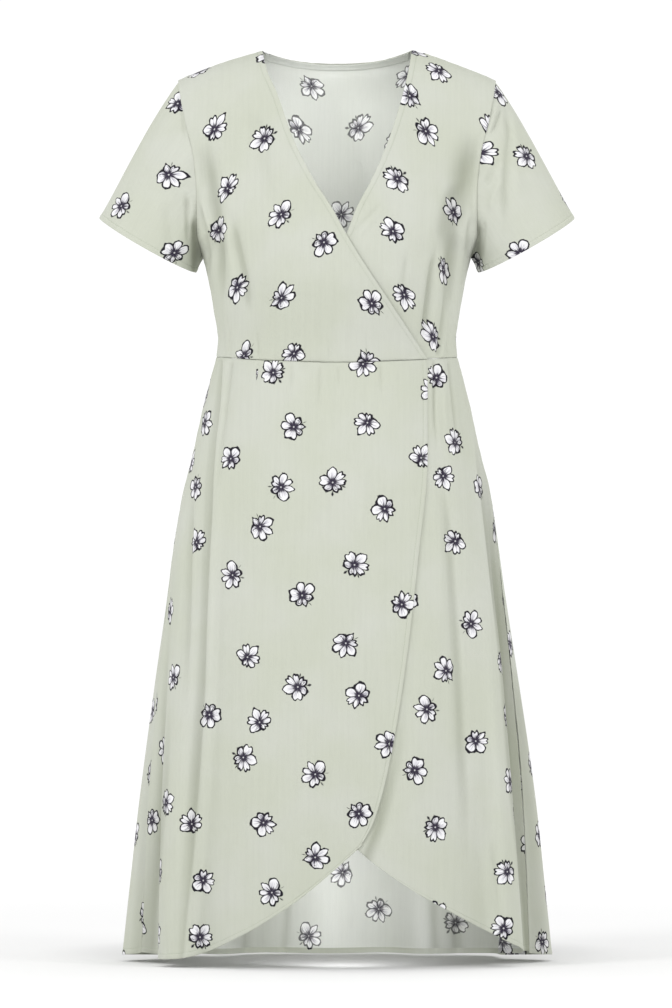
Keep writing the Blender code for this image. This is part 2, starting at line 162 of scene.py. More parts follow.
def bilinear(table: Array, across: Array, down: Array) -> Array:
    """Read a table of vectors between its entries.

    Args:
        table: The vectors, in rows and columns.
        across: Where to read it, in columns from the first.
        down: The same, in rows.

    Returns:
        The vectors there.
    """
    rows, columns = table.shape[:2]
    column = np.clip(np.floor(across).astype(int), 0, columns - 2)
    row = np.clip(np.floor(down).astype(int), 0, rows - 2)
    right = np.clip(across - column, 0.0, 1.0)[..., None]
    low = np.clip(down - row, 0.0, 1.0)[..., None]
    upper = table[row, column] * (1.0 - right) + table[row, column + 1] * right
    lower = table[row + 1, column] * (1.0 - right) + table[row + 1, column + 1] * right
    return upper * (1.0 - low) + lower * low


def lengths_along(points: Array, axis: int = 0) -> Array:
    """How far points lie along their line.

    Args:
        points: The points of a line, or of a net of lines.
        axis: The one that runs along the lines.

    Returns:
        Each point's length of line from the first one.
    """
    steps = np.linalg.norm(np.diff(points, axis=axis), axis=-1)
    start = np.zeros_like(np.take(steps, [0], axis=axis))
    return np.concatenate([start, np.cumsum(steps, axis=axis)], axis=axis)


def points_along(place: Array, knots: Array, line: Array) -> Array:
    """Points of a bent line at places along it, where the knots place its own points."""
    return np.stack([np.interp(place, knots, line[:, axis]) for axis in range(3)], axis=-1)


def even_reach(curve: Callable[[Array], Array]) -> Callable[[Array], Array]:
    """Even out a curve.

    Args:
        curve: Its points at shares of its parameter.

    Returns:
        A function from shares of the curve's length to shares of its parameter.
    """
    samples = np.linspace(0.0, 1.0, SAMPLES)
    lengths = lengths_along(curve(samples))
    return partial(np.interp, xp=lengths / lengths[-1], fp=samples)


class Chart:
    """A short table with named columns, read smoothly between its rows."""

    def __init__(self, names: str, *rows: Sequence[float]) -> None:
        """Take the table.

        Args:
            names: The columns' names. The first column places the rows.
            rows: The rows, in rising order of it.
        """
        self.columns = {name: np.array([row[place] for row in rows], dtype=float)
                        for place, name in enumerate(names.split())}
        self.knots = self.columns[names.split()[0]]

    def read(self, name: str, place: Array) -> Array:
        """The named column at each place."""
        return smooth(place, self.knots, self.columns[name])

    def read_round(self, name: str, place: Array, period: float) -> Array:
        """Read a column of a closed round.

        Args:
            name: The column's name.
            place: Where to read it.
            period: The length of the round.

        Returns:
            The column's values there.
        """
        values = self.columns[name]
        knots = np.concatenate([self.knots[-3:] - period, self.knots, self.knots[:3] + period])
        return smooth(place, knots, np.concatenate([values[-3:], values, values[:3]]), rounded=True)


# The rows lie at even steps from the shoulder seams (0) to the waist seam (11).
BODICE = Chart(
    "row side_drop middle_drop half_width front_side front_middle back_side back_middle roundness "
    "neck_drop neck_bow",
    (0, 0.035, -0.0134, 0.1850, 0.004, 0.004, 0.004, 0.004, 1.0, 0.0267, 0.048),
    (1, 0.040, -0.0060, 0.1842, -0.013, -0.019, 0.022, 0.030, 1.1, 0.0245, 0.030),
    (2, 0.054, 0.0110, 0.1820, -0.027, -0.040, 0.036, 0.048, 1.3, 0.0200, 0.016),
    (3, 0.083, 0.0426, 0.1765, -0.040, -0.056, 0.049, 0.069, 1.6, 0.0104, 0.006),
    (4, 0.125, 0.0937, 0.1668, -0.049, -0.073, 0.057, 0.085, 1.7, 0.0, 0.0),
    (5, 0.172, 0.1495, 0.1625, -0.049, -0.093, 0.055, 0.096, 1.5, 0.0, 0.0),
    (6, 0.213, 0.201, 0.1618, -0.031, -0.110, 0.038, 0.103, 1.15, 0.0, 0.0),
    (7, 0.240, 0.239, 0.1555, 0.004, -0.118, 0.004, 0.106, 0.92, 0.0, 0.0),
    (8, 0.262, 0.265, 0.1500, 0.004, -0.119, 0.004, 0.106, 0.88, 0.0, 0.0),
    (9, 0.300, 0.305, 0.1430, 0.003, -0.111, 0.003, 0.103, 0.88, 0.0, 0.0),
    (10, 0.336, 0.342, 0.1378, 0.002, -0.102, 0.002, 0.099, 0.88, 0.0, 0.0),
    (11, 0.357, 0.3645, 0.1395, 0.002, -0.099, 0.002, 0.099, 0.88, 0.0, 0.0),
)
LAST_ROW = 11.0
ARMPIT_ROW = 7.0

SKIRT = Chart(
    "drop half_width front back",
    (0.357, 0.1395, 0.101, 0.098),
    (0.407, 0.1525, 0.116, 0.117),
    (0.465, 0.1655, 0.129, 0.134),
    (0.523, 0.1800, 0.138, 0.146),
    (0.639, 0.1985, 0.149, 0.160),
    (0.755, 0.2160, 0.158, 0.171),
    (0.871, 0.2315, 0.165, 0.180),
    (0.988, 0.2435, 0.171, 0.187),
    (1.056, 0.2500, 0.174, 0.191),
)

# The skirt's crests and troughs: the turn in degrees, how far they move the hem outward and
# forward round the skirt, and the drop at which they begin.
FOLDS = Chart(
    "turn out along start",
    (0, -0.023, 0.010, 0.58),
    (10, -0.047, 0.022, 0.58),
    (20, -0.019, 0.026, 0.56),
    (31, -0.004, 0.026, 0.50),
    (46, -0.015, 0.014, 0.50),
    (62, -0.002, 0.003, 0.45),
    (90, 0.001, 0.000, 0.45),
    (120, 0.000, -0.002, 0.45),
    (136, -0.010, -0.010, 0.46),
    (148, 0.002, -0.018, 0.46),
    (157, -0.007, -0.017, 0.48),
    (163, -0.025, -0.025, 0.48),
    (168, -0.048, -0.033, 0.48),
    (173, -0.052, -0.024, 0.48),
    (180, -0.026, -0.014, 0.50),
    (192, 0.004, -0.010, 0.50),
    (209, -0.028, 0.000, 0.52),
    (227, 0.011, 0.000, 0.46),
    (243, -0.020, 0.004, 0.50),
    (258, 0.008, 0.000, 0.46),
    (273, -0.014, -0.002, 0.54),
    (290, 0.010, 0.002, 0.48),
    (306, -0.022, 0.000, 0.50),
    (321, 0.008, -0.002, 0.44),
    (335, -0.024, 0.000, 0.56),
    (348, 0.004, 0.010, 0.58),
)

# x of the fronts' free edges: the neckline, and the tulip edge below the waist.
NECKLINE = Chart(
    "drop over under",
    (0.000, -0.0870, 0.0870),
    (0.025, -0.0812, 0.0828),
    (0.052, -0.0695, 0.0765),
    (0.100, -0.0530, 0.0620),
    (0.150, -0.0290, 0.0415),
    (0.190, -0.0040, 0.0210),
    (0.217, 0.0105, 0.0105),
    (0.246, 0.0280, -0.0120),
    (0.300, 0.0640, -0.0540),
    (0.361, 0.1050, -0.0950),
)
TULIP = Chart(
    "drop over under",
    (0.361, 0.1050, -0.0950),
    (0.480, 0.1040, -0.0940),
    (0.585, 0.0935, -0.0840),
    (0.700, 0.0800, -0.0690),
    (0.820, 0.0605, -0.0430),
    (0.890, 0.0420, -0.0080),
    (0.919, 0.0270, 0.0200),
)

# The drop of the fronts' hems, by the share of the way from the side seam to their crossing.
HEMS = Chart(
    "reach over under",
    (0.00, 1.048, 1.046),
    (0.20, 1.052, 1.046),
    (0.36, 1.050, 1.034),
    (0.50, 1.041, 1.016),
    (0.66, 1.020, 0.996),
    (0.80, 0.987, 0.972),
    (0.91, 0.951, 0.946),
    (1.00, 0.919, 0.919),
)


# ---------------- forms


class Form:
    """A smooth surface on which panels are marked out: turn goes round it and level goes down it."""

    turns: tuple[float, float] = (0.0, math.pi)
    levels: tuple[float, float] = (0.0, 1.0)
    middle: float = math.pi / 2.0   # the turn of the straight grain line
    mirror: float = 1.0             # -1 where turn runs to the left, seen from outside
    table: Array | None = None      # flat places of a fine net, measured when first asked for

    def point(self, turn: Array, level: Array) -> Array:
        """The surface's points."""
        raise NotImplementedError

    def flat(self, turn: Array, level: Array) -> Array:
        """Where points lie on the flat cloth.

        Args:
            turn: The points' turns.
            level: Their levels.

        Returns:
            Their u and v, on the last axis.
        """
        if self.table is None:
            self.table = self._measure()
        rows, columns = self.table.shape[:2]
        across = (turn - self.turns[0]) / (self.turns[1] - self.turns[0]) * (columns - 1)
        down = (level - self.levels[0]) / (self.levels[1] - self.levels[0]) * (rows - 1)
        return bilinear(self.table, across, down)

    def _net(self) -> Array:
        """Points of a fine net over the whole surface."""
        turn = np.linspace(*self.turns, SAMPLES)
        return self.point(*np.meshgrid(turn, np.linspace(*self.levels, SAMPLES // 2)))

    def _measure(self) -> Array:
        """Measure the surface along its rows and square to them.

        Returns:
            The flat places of its net.
        """
        net = self._net()
        along = lengths_along(net, axis=1)
        turn = np.linspace(*self.turns, SAMPLES)
        start = np.array([np.interp(self.middle, turn, row) for row in along])
        u = (along - start[:, None]) * self.mirror
        drops = np.linalg.norm(np.diff(net, axis=0), axis=-1) ** 2 - np.diff(u, axis=0) ** 2
        drops = np.sqrt(np.maximum(drops, 0.0))
        v = np.concatenate([np.zeros((1, len(turn))), np.cumsum(drops, axis=0)], axis=0)
        return np.stack([u, v], axis=-1)


def row_rise(across: Array) -> Array:
    """How far a bodice row has gone from its side height to its middle height."""
    return 1.0 - np.abs(across) ** ROW_BEND


class BodiceForm(Form):
    """The front or the back of the bodice, from the shoulder seams to the waist seam."""

    def __init__(self, face: Face) -> None:
        """Take the front or the back."""
        self.face = face
        self.mirror = -float(face)

    @staticmethod
    def value(name: str, share: Array) -> Array:
        """A column of the bodice's chart at a share of the way down."""
        return BODICE.read(name, share * LAST_ROW)

    def point(self, turn: Array, level: Array) -> Array:
        """The bodice's points.

        Args:
            turn: Their turns.
            level: Their shares of the way down from the shoulder seam to the waist seam.

        Returns:
            The points, on the last axis.
        """
        prefix = self.face.name.lower()
        across = -np.cos(turn)
        side_y = self.value(prefix + "_side", level)
        middle_y = self.value(prefix + "_middle", level)
        side_drop = self.value("side_drop", level)
        middle_drop = self.value("middle_drop", level)
        if self.face is Face.BACK:
            middle_drop = middle_drop - WAIST_DIP * level ** WAIST_DIP_GROWTH
        bow = np.maximum(np.sin(turn), 0.0) ** self.value("roundness", level)
        y = side_y + (middle_y - side_y) * bow
        drop = side_drop + (middle_drop - side_drop) * row_rise(across)
        if self.face is Face.BACK:
            neck = np.maximum(1.0 - (across * SHOULDER_HALF_WIDTH / NECK_HALF_WIDTH) ** 2, 0.0)
            y = y + neck * self.value("neck_bow", level)
            drop = drop + neck * self.value("neck_drop", level)
        x = across * self.value("half_width", level)
        return np.stack([x, y + self.face * SEAM / 2.0, -drop], axis=-1)

    def edge_turn(self, side: Side, level: Array) -> Array:
        """Where a front's neckline edge crosses the rows.

        Args:
            side: The side that the front belongs to.
            level: The rows' shares of the way down.

        Returns:
            The turns of the crossings, found in a few rounds because a row rises to its middle.
        """
        width = self.value("half_width", level)
        side_drop = self.value("side_drop", level)
        middle_drop = self.value("middle_drop", level)
        x = NECKLINE.read(WRAPPED[side], middle_drop)
        for _ in range(5):
            drop = side_drop + (middle_drop - side_drop) * row_rise(x / width)
            x = NECKLINE.read(WRAPPED[side], drop)
        return np.arccos(np.clip(-x / width, -1.0, 1.0))


def outward_of(turn: Array, width: Array, depth: Array) -> Array:
    """The level direction out of an oval of this width and depth, at a turn round it."""
    away = np.stack([-np.cos(turn) / width, -np.sin(turn) / depth], axis=-1)
    return away / np.linalg.norm(away, axis=-1, keepdims=True)


class SkirtForm(Form):
    """The front or the back of the skirt, in turns and drops, with its folds."""

    levels = (WAIST_DROP, BACK_HEM_DROP + 0.001)

    def __init__(self, face: Face) -> None:
        """Take the front or the back."""
        self.turns = (0.0, math.pi) if face is Face.FRONT else (math.pi, FULL_TURN)
        self.middle = sum(self.turns) / 2.0

    def point(self, turn: Array, level: Array) -> Array:
        """The skirt's points.

        Args:
            turn: Their turns.
            level: Their drops.

        Returns:
            The points, on the last axis.
        """
        front = np.sin(turn) > 0.0
        width = SKIRT.read("half_width", level)
        depth = np.where(front, SKIRT.read("front", level), SKIRT.read("back", level))
        bow = np.abs(np.sin(turn)) ** SKIRT_ROUNDNESS * np.where(front, -1.0, 1.0)
        outward = outward_of(turn, width, depth)
        degrees = np.degrees(turn)
        start = FOLDS.read_round("start", degrees, 360.0)
        growth = np.clip((level - start) / (BACK_HEM_DROP - start), 0.0, FOLD_LIMIT) ** FOLD_GROWTH
        out = growth * FOLDS.read_round("out", degrees, 360.0)
        along = growth * FOLDS.read_round("along", degrees, 360.0)
        x = -np.cos(turn) * width + outward[..., 0] * out - outward[..., 1] * along
        y = SKIRT_MIDDLE_Y + bow * depth + outward[..., 1] * out + outward[..., 0] * along
        return np.stack([x, y, -level + 0.0 * x], axis=-1)


class SleeveForm(Form):
    """A short set-in sleeve: turn goes round it from the underarm seam, level down to the cuff."""

    turns = (0.0, FULL_TURN)
    middle = math.pi

    top_corner = np.array([0.2755, 0.006, -0.1950])
    inner_corner = np.array([0.1640, 0.006, -0.2580])
    cuff_half_depth = 0.056
    cuff_back_lift = 0.010
    cuff_front_sag = 0.006
    tuck_in = 0.0014      # the sleeve's mouth starts inside the armhole
    tuck_down = 0.0010
    cap_fullness = 0.005
    cap_swell = 6.75      # s (1 - s)(1 - s) times this is 1 at its highest

    def __init__(self, side: Side, front: BodiceForm, back: BodiceForm) -> None:
        """Lay the sleeve out between the armhole and its cuff.

        Args:
            side: The arm's side.
            front: The bodice's front.
            back: The bodice's back.
        """
        self.side = side
        self.mirror = -float(side)
        share = np.linspace(0.0, ARMPIT_ROW / LAST_ROW, SAMPLES // 2)
        turn = np.full_like(share, from_side(side, 0.0))
        before, behind = front.point(turn, share), back.point(turn, share)
        armpit = (before[-1:] + behind[-1:]) / 2.0
        self.loop = np.concatenate([armpit, behind[-2::-1], before[:-1], armpit])
        self.spread = even_reach(self._armhole)
        mirror = np.array([float(side), 1.0, 1.0])
        self.top = self.top_corner * mirror
        self.cuff_middle = (self.top + self.inner_corner * mirror) / 2.0
        self.armhole_middle = self.loop.mean(axis=0)
        along = self.cuff_middle - self.armhole_middle
        self.along = along / np.linalg.norm(along)

    def _measure(self) -> Array:
        """Measure round the sleeve square to its length, and down along its length.

        Returns:
            The flat places of its net.
        """
        net = self._net()
        level_net = net - (net @ self.along)[..., None] * self.along
        round_it = lengths_along(level_net, axis=1)
        u = (round_it - round_it[:, SAMPLES // 2, None]) * self.mirror
        v = net @ self.along
        return np.stack([u, v - v.min()], axis=-1)

    def _armhole(self, share: Array) -> Array:
        """Points of the armhole, from the armpit up the back and down the front again."""
        return points_along(share, np.linspace(0.0, 1.0, len(self.loop)), self.loop)

    def point(self, turn: Array, level: Array) -> Array:
        """The sleeve's points.

        Args:
            turn: Their turns.
            level: Their shares of the way from the armhole to the cuff.

        Returns:
            The points, on the last axis.
        """
        angle = np.asarray(turn)[..., None]
        share = np.asarray(level)[..., None]
        start = self._armhole(self.spread(turn / FULL_TURN))
        cuff = self.cuff_middle - (self.top - self.cuff_middle) * np.cos(angle)
        cuff = cuff + np.array([0.0, self.cuff_half_depth, 0.0]) * np.sin(angle)
        cuff = cuff - self.along * self.cuff_back_lift * np.maximum(np.sin(angle), 0.0)
        cuff = cuff + self.along * self.cuff_front_sag * np.maximum(-np.sin(angle), 0.0)
        outward = start - self.armhole_middle
        outward = outward / np.linalg.norm(outward, axis=-1, keepdims=True)
        begin = start - outward * self.tuck_down - np.array([self.side * self.tuck_in, 0.0, 0.0])
        swell = self.cap_swell * share * (1.0 - share) ** 2
        fullness = self.cap_fullness * swell * (0.5 - 0.5 * np.cos(angle))
        return begin * (1.0 - share) + cuff * share + outward * fullness


# ---------------- shader helpers


class Field:
    """A number that varies over a surface: arithmetic on it adds Math nodes."""

    def __init__(self, shader: "Shader", socket: bpy.types.NodeSocket) -> None:
        """Wrap an output socket."""
        self.shader = shader
        self.socket = socket

    def beside(self, output: int) -> "Field":
        """Another output of the same node."""
        return Field(self.shader, self.socket.node.outputs[output])

    def math(self, operation: str, *others: "Number") -> "Field":
        """A Math node on this number and others."""
        return self.shader.node("ShaderNodeMath", {"operation": operation}, [self, *others])

    def math_after(self, operation: str, first: float) -> "Field":
        """A Math node on a plain number and this one."""
        return self.shader.node("ShaderNodeMath", {"operation": operation}, [first, self])

    # Each operator adds its Math node; in a reflected form the plain number comes first.
    __abs__ = partialmethod(math, "ABSOLUTE")
    __add__ = __radd__ = partialmethod(math, "ADD")
    __mul__ = __rmul__ = partialmethod(math, "MULTIPLY")
    __sub__ = partialmethod(math, "SUBTRACT")
    __rsub__ = partialmethod(math_after, "SUBTRACT")
    __truediv__ = partialmethod(math, "DIVIDE")
    __rtruediv__ = partialmethod(math_after, "DIVIDE")
    __pow__ = partialmethod(math, "POWER")
    __rpow__ = partialmethod(math_after, "POWER")
    __mod__ = partialmethod(math, "FLOORED_MODULO")
    __rmod__ = partialmethod(math_after, "FLOORED_MODULO")

    def rise(self, low: "Number", high: "Number") -> "Field":
        """A soft step from 0 at low to 1 at high."""
        return self.shader.node("ShaderNodeMapRange", {"interpolation_type": "SMOOTHSTEP"},
                                {"Value": self, "From Min": low, "From Max": high})

    def fall(self, low: "Number", high: "Number") -> "Field":
        """A soft step from 1 at low to 0 at high."""
        return 1.0 - self.rise(low, high)


Number = Field | float
Colour = tuple[float, float, float]


class Shader:
    """The node tree of one material."""

    def __init__(self, name: str) -> None:
        """Start a material with a Principled shader.

        Args:
            name: The material's name.
        """
        self.material = bpy.data.materials.new(name)
        self.material.use_nodes = True
        self.tree = self.material.node_tree
        self.principled = self.tree.nodes["Principled BSDF"]

    def node(self, kind: str, settings: dict | None = None, inputs: dict | Sequence = (),
             output: str | int = 0) -> Field:
        """Add a node.

        Args:
            kind: The node's type.
            settings: Its own settings, set first.
            inputs: The values or links of its sockets, by name or in order.
            output: The output to return.

        Returns:
            That output.
        """
        node = self.tree.nodes.new(kind)
        for name, value in (settings or {}).items():
            setattr(node, name, value)
        pairs = inputs.items() if isinstance(inputs, dict) else enumerate(inputs)
        for place, value in pairs:
            self.feed(node.inputs[place], value)
        return Field(self, node.outputs[output])

    def feed(self, socket: bpy.types.NodeSocket, value: "Field | float | Sequence[float]") -> None:
        """Link or set one input.

        Args:
            socket: The input.
            value: What it gets.
        """
        if isinstance(value, Field):
            self.tree.links.new(value.socket, socket)
        else:
            socket.default_value = value

    def mix(self, factor: Number, first: "Field | Colour", second: "Field | Colour",
            blend: str = "MIX") -> Field:
        """Mix two colours.

        Args:
            factor: 0 for the first colour, 1 for the blend with the second.
            first: The first colour.
            second: The second colour.
            blend: How they blend.

        Returns:
            The mixed colour.
        """
        ends = [end if isinstance(end, Field) else (*end, 1.0) for end in (first, second)]
        settings = {"data_type": "RGBA", "blend_type": blend}
        return self.node("ShaderNodeMix", settings, {0: factor, 6: ends[0], 7: ends[1]}, 2)

    def vector(self, x: Number, y: Number, z: Number = 0.0) -> Field:
        """Join three numbers into a vector."""
        return self.node("ShaderNodeCombineXYZ", None, [x, y, z])

    def split(self, vector: Field) -> tuple[Field, Field]:
        """The first two numbers of a vector."""
        x = self.node("ShaderNodeSeparateXYZ", None, [vector])
        return x, x.beside(1)

    def noise(self, place: Field, scale: float, detail: float = 2.0) -> Field:
        """Soft noise from 0 to 1."""
        return self.node("ShaderNodeTexNoise", None, {"Vector": place, "Scale": scale, "Detail": detail})

    def finish(self, colour: Field | Colour, height: Field | None, distance: float,
               **constants: float | Colour) -> bpy.types.Material:
        """Feed the Principled shader.

        Args:
            colour: The base colour.
            height: The bump's height, from 0 to 1.
            distance: The bump's depth in metres.
            constants: Plain values of other sockets, with _ for spaces in their names.

        Returns:
            The material.
        """
        self.feed(self.principled.inputs["Base Color"],
                  colour if isinstance(colour, Field) else (*colour, 1.0))
        for name, value in constants.items():
            self.principled.inputs[name.replace("_", " ")].default_value = value
        if height is not None:
            bump = self.node("ShaderNodeBump", None, {"Height": height, "Distance": distance})
            self.feed(self.principled.inputs["Normal"], bump)
        return self.material


# ---------------- the print


@dataclass(frozen=True)
class Flower:
    """One flower of the printed repeat."""

    across: float   # its place in the repeat
    down: float
    turn: float     # degrees, the way its folded petals point
    kind: int       # which of the drawn flowers it is


REPEAT = (0.32, 0.70)      # the printed repeat, across and down the cloth
FLOWER_RADIUS = 0.0170
FLOWER_FIELD = 4.0         # past this many flower radii a flower's map stops
FLOWERS = tuple(Flower(*row) for row in (
    (-0.075, 0.020, 60, 0), (0.030, 0.010, 200, 1), (-0.130, 0.120, 20, 2), (-0.050, 0.085, 90, 3),
    (0.035, 0.080, 150, 4), (0.135, 0.075, 260, 5), (-0.065, 0.155, 300, 1), (-0.005, 0.150, 20, 0),
    (0.130, 0.150, 140, 3), (0.055, 0.180, 80, 2), (-0.090, 0.200, 240, 5), (0.140, 0.215, 30, 4),
    (0.020, 0.245, 330, 0), (-0.125, 0.255, 110, 1), (-0.040, 0.280, 20, 3), (0.075, 0.290, 250, 2),
    (0.010, 0.335, 160, 5), (-0.105, 0.350, 320, 4), (0.105, 0.370, 60, 1), (-0.045, 0.385, 120, 0),
    (0.025, 0.395, 50, 2), (-0.155, 0.415, 200, 3), (-0.090, 0.425, 30, 4), (0.060, 0.450, 100, 5),
    (-0.110, 0.465, 270, 0), (-0.025, 0.485, 70, 1), (0.025, 0.530, 220, 3), (-0.085, 0.540, 150, 2),
    (0.140, 0.540, 10, 4), (0.100, 0.515, 310, 0), (-0.025, 0.580, 300, 5), (-0.075, 0.620, 90, 1),
    (0.080, 0.595, 40, 3), (0.155, 0.605, 190, 2), (-0.010, 0.650, 130, 4), (0.150, 0.670, 340, 0),
    (0.075, 0.665, 230, 5), (0.116, 0.040, 80, 1),
    (0.100, 0.120, 340, 4),
))


@dataclass(frozen=True)
class Cut:
    """Where on the printed cloth a panel is cut."""

    across: float = 0.0
    down: float = 0.0
    upside_down: bool = False

    def on_cloth(self, flat: Array) -> Array:
        """The cloth's own places of a panel's flat places."""
        way = -1.0 if self.upside_down else 1.0
        return flat * way + np.array([self.across, self.down])


def nearest_flowers(cloth: Array) -> tuple[Array, Array]:
    """Find the flower nearest to each face.

    Args:
        cloth: The corners of each face on the cloth, one row for each face.

    Returns:
        The corners' places about that flower, in flower radii, and the flower's number.
    """
    repeat = np.array(REPEAT)
    centres = np.array([(flower.across, flower.down) for flower in FLOWERS])
    turns = np.radians([flower.turn for flower in FLOWERS])
    middles = cloth.mean(axis=1)
    best = np.full(len(middles), np.inf)
    chosen = np.zeros(len(middles), dtype=int)
    offset = np.zeros_like(middles)
    for number, centre in enumerate(centres):
        away = middles - centre
        away = away - np.round(away / repeat) * repeat
        distance = (away ** 2).sum(axis=1)
        closer = distance < best
        best[closer], chosen[closer], offset[closer] = distance[closer], number, away[closer]
    local = cloth - (middles - offset)[:, None, :]
    cosine, sine = np.cos(turns[chosen])[:, None], np.sin(turns[chosen])[:, None]
    x = local[..., 0] * cosine - local[..., 1] * sine
    y = local[..., 0] * sine + local[..., 1] * cosine
    return np.clip(np.stack([x, y], axis=-1) / FLOWER_RADIUS, -FLOWER_FIELD, FLOWER_FIELD), chosen


@dataclass(frozen=True)
class Pen:
    """The sizes of the drawn flowers, in flower radii."""

    petals: int = 6
    length: float = 0.84          # of the shortest petal
    length_lot: float = 0.17      # what its lot can add
    far_loss: float = 0.26        # the share that petals on the side turned away lose
    rounding: float = 0.42        # the share by which the outline falls back between two petals
    notch: float = 0.15           # depth of the dent in some tips
    point: float = 0.13           # height of the point on others
    unevenness: float = 0.16
    line: float = 0.040           # width of the outline
    far_line: float = 0.014       # what it gains on the side turned away
    blot: float = 0.16            # what it gains where the ink spreads
    tip_line: float = 0.045       # what it gains round some tips
    turned_edge: float = 0.17     # how far inside the outline a turned-over edge is drawn
    ray_reach: float = 0.74       # of the heart's longest rays


class FlowerDrawing:
    """The parts of the flower printed nearest to a place, as shares of ink or white there.

    Across is 0 along the middle of a petal and 1 between two, and off is how far the place lies
    outside the outline. Three lots vary each petal's length, its shape and its tip.
    """

    def __init__(self, shader: Shader, pen: Pen) -> None:
        """Find the place in the flower.

        Args:
            shader: The material's node tree.
            pen: The drawing's sizes.
        """
        self.shader = shader
        self.pen = pen
        x, y = shader.split(shader.node("ShaderNodeUVMap", {"uv_map": "flower"}))
        self.kind = shader.node("ShaderNodeAttribute", {"attribute_name": "kind"}, (), "Fac")
        self.radius = (x * x + y * y) ** 0.5
        self.angle = y.math("ARCTAN2", x)
        self.far = (y / (self.radius + 0.05)).rise(-0.20, 0.90)     # 1 on the side turned away
        self.wobble = shader.noise(shader.vector(x * 3.2, y * 3.2, self.kind * 7.3), 1.0)
        self.ray = shader.vector(self.angle.math("COSINE"), self.angle.math("SINE"), self.kind * 0.9)
        self.across, self.length_lot, self.shape_lot, self.tip_lot = self._petal()
        self.off = self._off_outline()
        self.inside = self.off.fall(-0.020, 0.030)
        self.gap = (1.0 - self.across) * self.radius * (math.pi / pen.petals)

    def _petal(self) -> tuple[Field, Field, Field, Field]:
        """Find the petal at the place.

        Returns:
            Across, and the petal's three lots.
        """
        first_bend = (self.angle + self.kind * 1.7).math("SINE") * 0.26
        second_bend = (self.angle * 2.0 + self.kind * 2.9).math("SINE") * 0.14
        count = self.angle * (self.pen.petals / FULL_TURN) + (first_bend + second_bend)
        number = count.math("FLOOR")
        across = abs(count - number - 0.5) * 2.0
        seed = self.shader.vector(number % self.pen.petals, self.kind * 0.37)
        draw = self.shader.node("ShaderNodeTexWhiteNoise", {"noise_dimensions": "2D"},
                                {"Vector": seed}, "Color")
        lots = self.shader.node("ShaderNodeSeparateColor", None, [draw])
        return across, lots, lots.beside(1), lots.beside(2)

    def _off_outline(self) -> Field:
        """Measure how far the place lies outside the petals' outline.

        Returns:
            That distance, less than 0 inside them.
        """
        pen, across = self.pen, self.across
        reach = (pen.length + self.length_lot * pen.length_lot) * (1.0 - self.far * pen.far_loss)
        notch = self.shape_lot.rise(0.60, 0.66) * across.fall(0.0, 0.42) * pen.notch
        narrow = (1.0 - across * 2.4).math("MAXIMUM", 0.0)
        point = self.shape_lot.fall(0.34, 0.40) * narrow * pen.point
        edge = reach * (1.0 - (across ** 2.8) * pen.rounding) + point - notch
        edge = edge + (self.wobble - 0.5) * pen.unevenness
        slope = reach * (across ** 1.7) * 2.6 / (self.radius + 0.1)
        return (self.radius - edge) / (1.0 + slope * slope) ** 0.5

    def outline(self) -> Field:
        """Draw the uneven ink line round the petals.

        Returns:
            The line's share at the place.
        """
        pen = self.pen
        width = pen.line + self.far * pen.far_line + (self.wobble - 0.47).math("MAXIMUM", 0.0) * pen.blot
        width = width + self.tip_lot.rise(0.55, 0.60) * self.across.fall(0.0, 0.60) * pen.tip_line
        return abs(self.off).fall(width * 0.60, width * 1.35)

    def between(self) -> Field:
        """The lines between two petals."""
        return self.gap.fall(0.022, 0.062) * self.inside

    def turned_edges(self) -> Field:
        """The broken lines of turned-over edges, on the side turned away."""
        line = abs(self.off + self.pen.turned_edge).fall(0.015, 0.060)
        return line * self.far.rise(0.45, 0.80) * self.wobble.rise(0.42, 0.54)

    def tips(self) -> Field:
        """Draw the small inked leaves that show behind some petals.

        Returns:
            Their share at the place.
        """
        leaf = (self.gap - 0.075 + abs(self.radius - 0.80) * 0.28).fall(-0.045, 0.020)
        leaf = leaf * self.far.rise(0.35, 0.60) * self.off.rise(-0.02, 0.04)
        return leaf * self.radius.fall(0.88, 0.99) * self.tip_lot.rise(0.60, 0.65)

    def lines(self) -> Field:
        """All the ink lines, each as dark as it is drawn."""
        lines = self.outline().math("MAXIMUM", self.between() * 0.85)
        return lines.math("MAXIMUM", self.turned_edges() * 0.85).math("MAXIMUM", self.tips())

    def veins(self) -> Field:
        """Fine grey veins that fade towards the petals' tips."""
        return self.shader.noise(self.ray, 11.0).rise(0.46, 0.58) * self.radius.fall(0.40, 0.86) * 0.70

    def heart(self) -> Field:
        """The dark rays round the middle."""
        rays = self.shader.noise(self.ray, 4.5)
        return (self.radius - rays * self.pen.ray_reach).fall(-0.13, 0.05) * 0.96

    def dot(self) -> Field:
        """The pale dot in the middle."""
        return self.radius.fall(0.025, 0.080) * 0.70


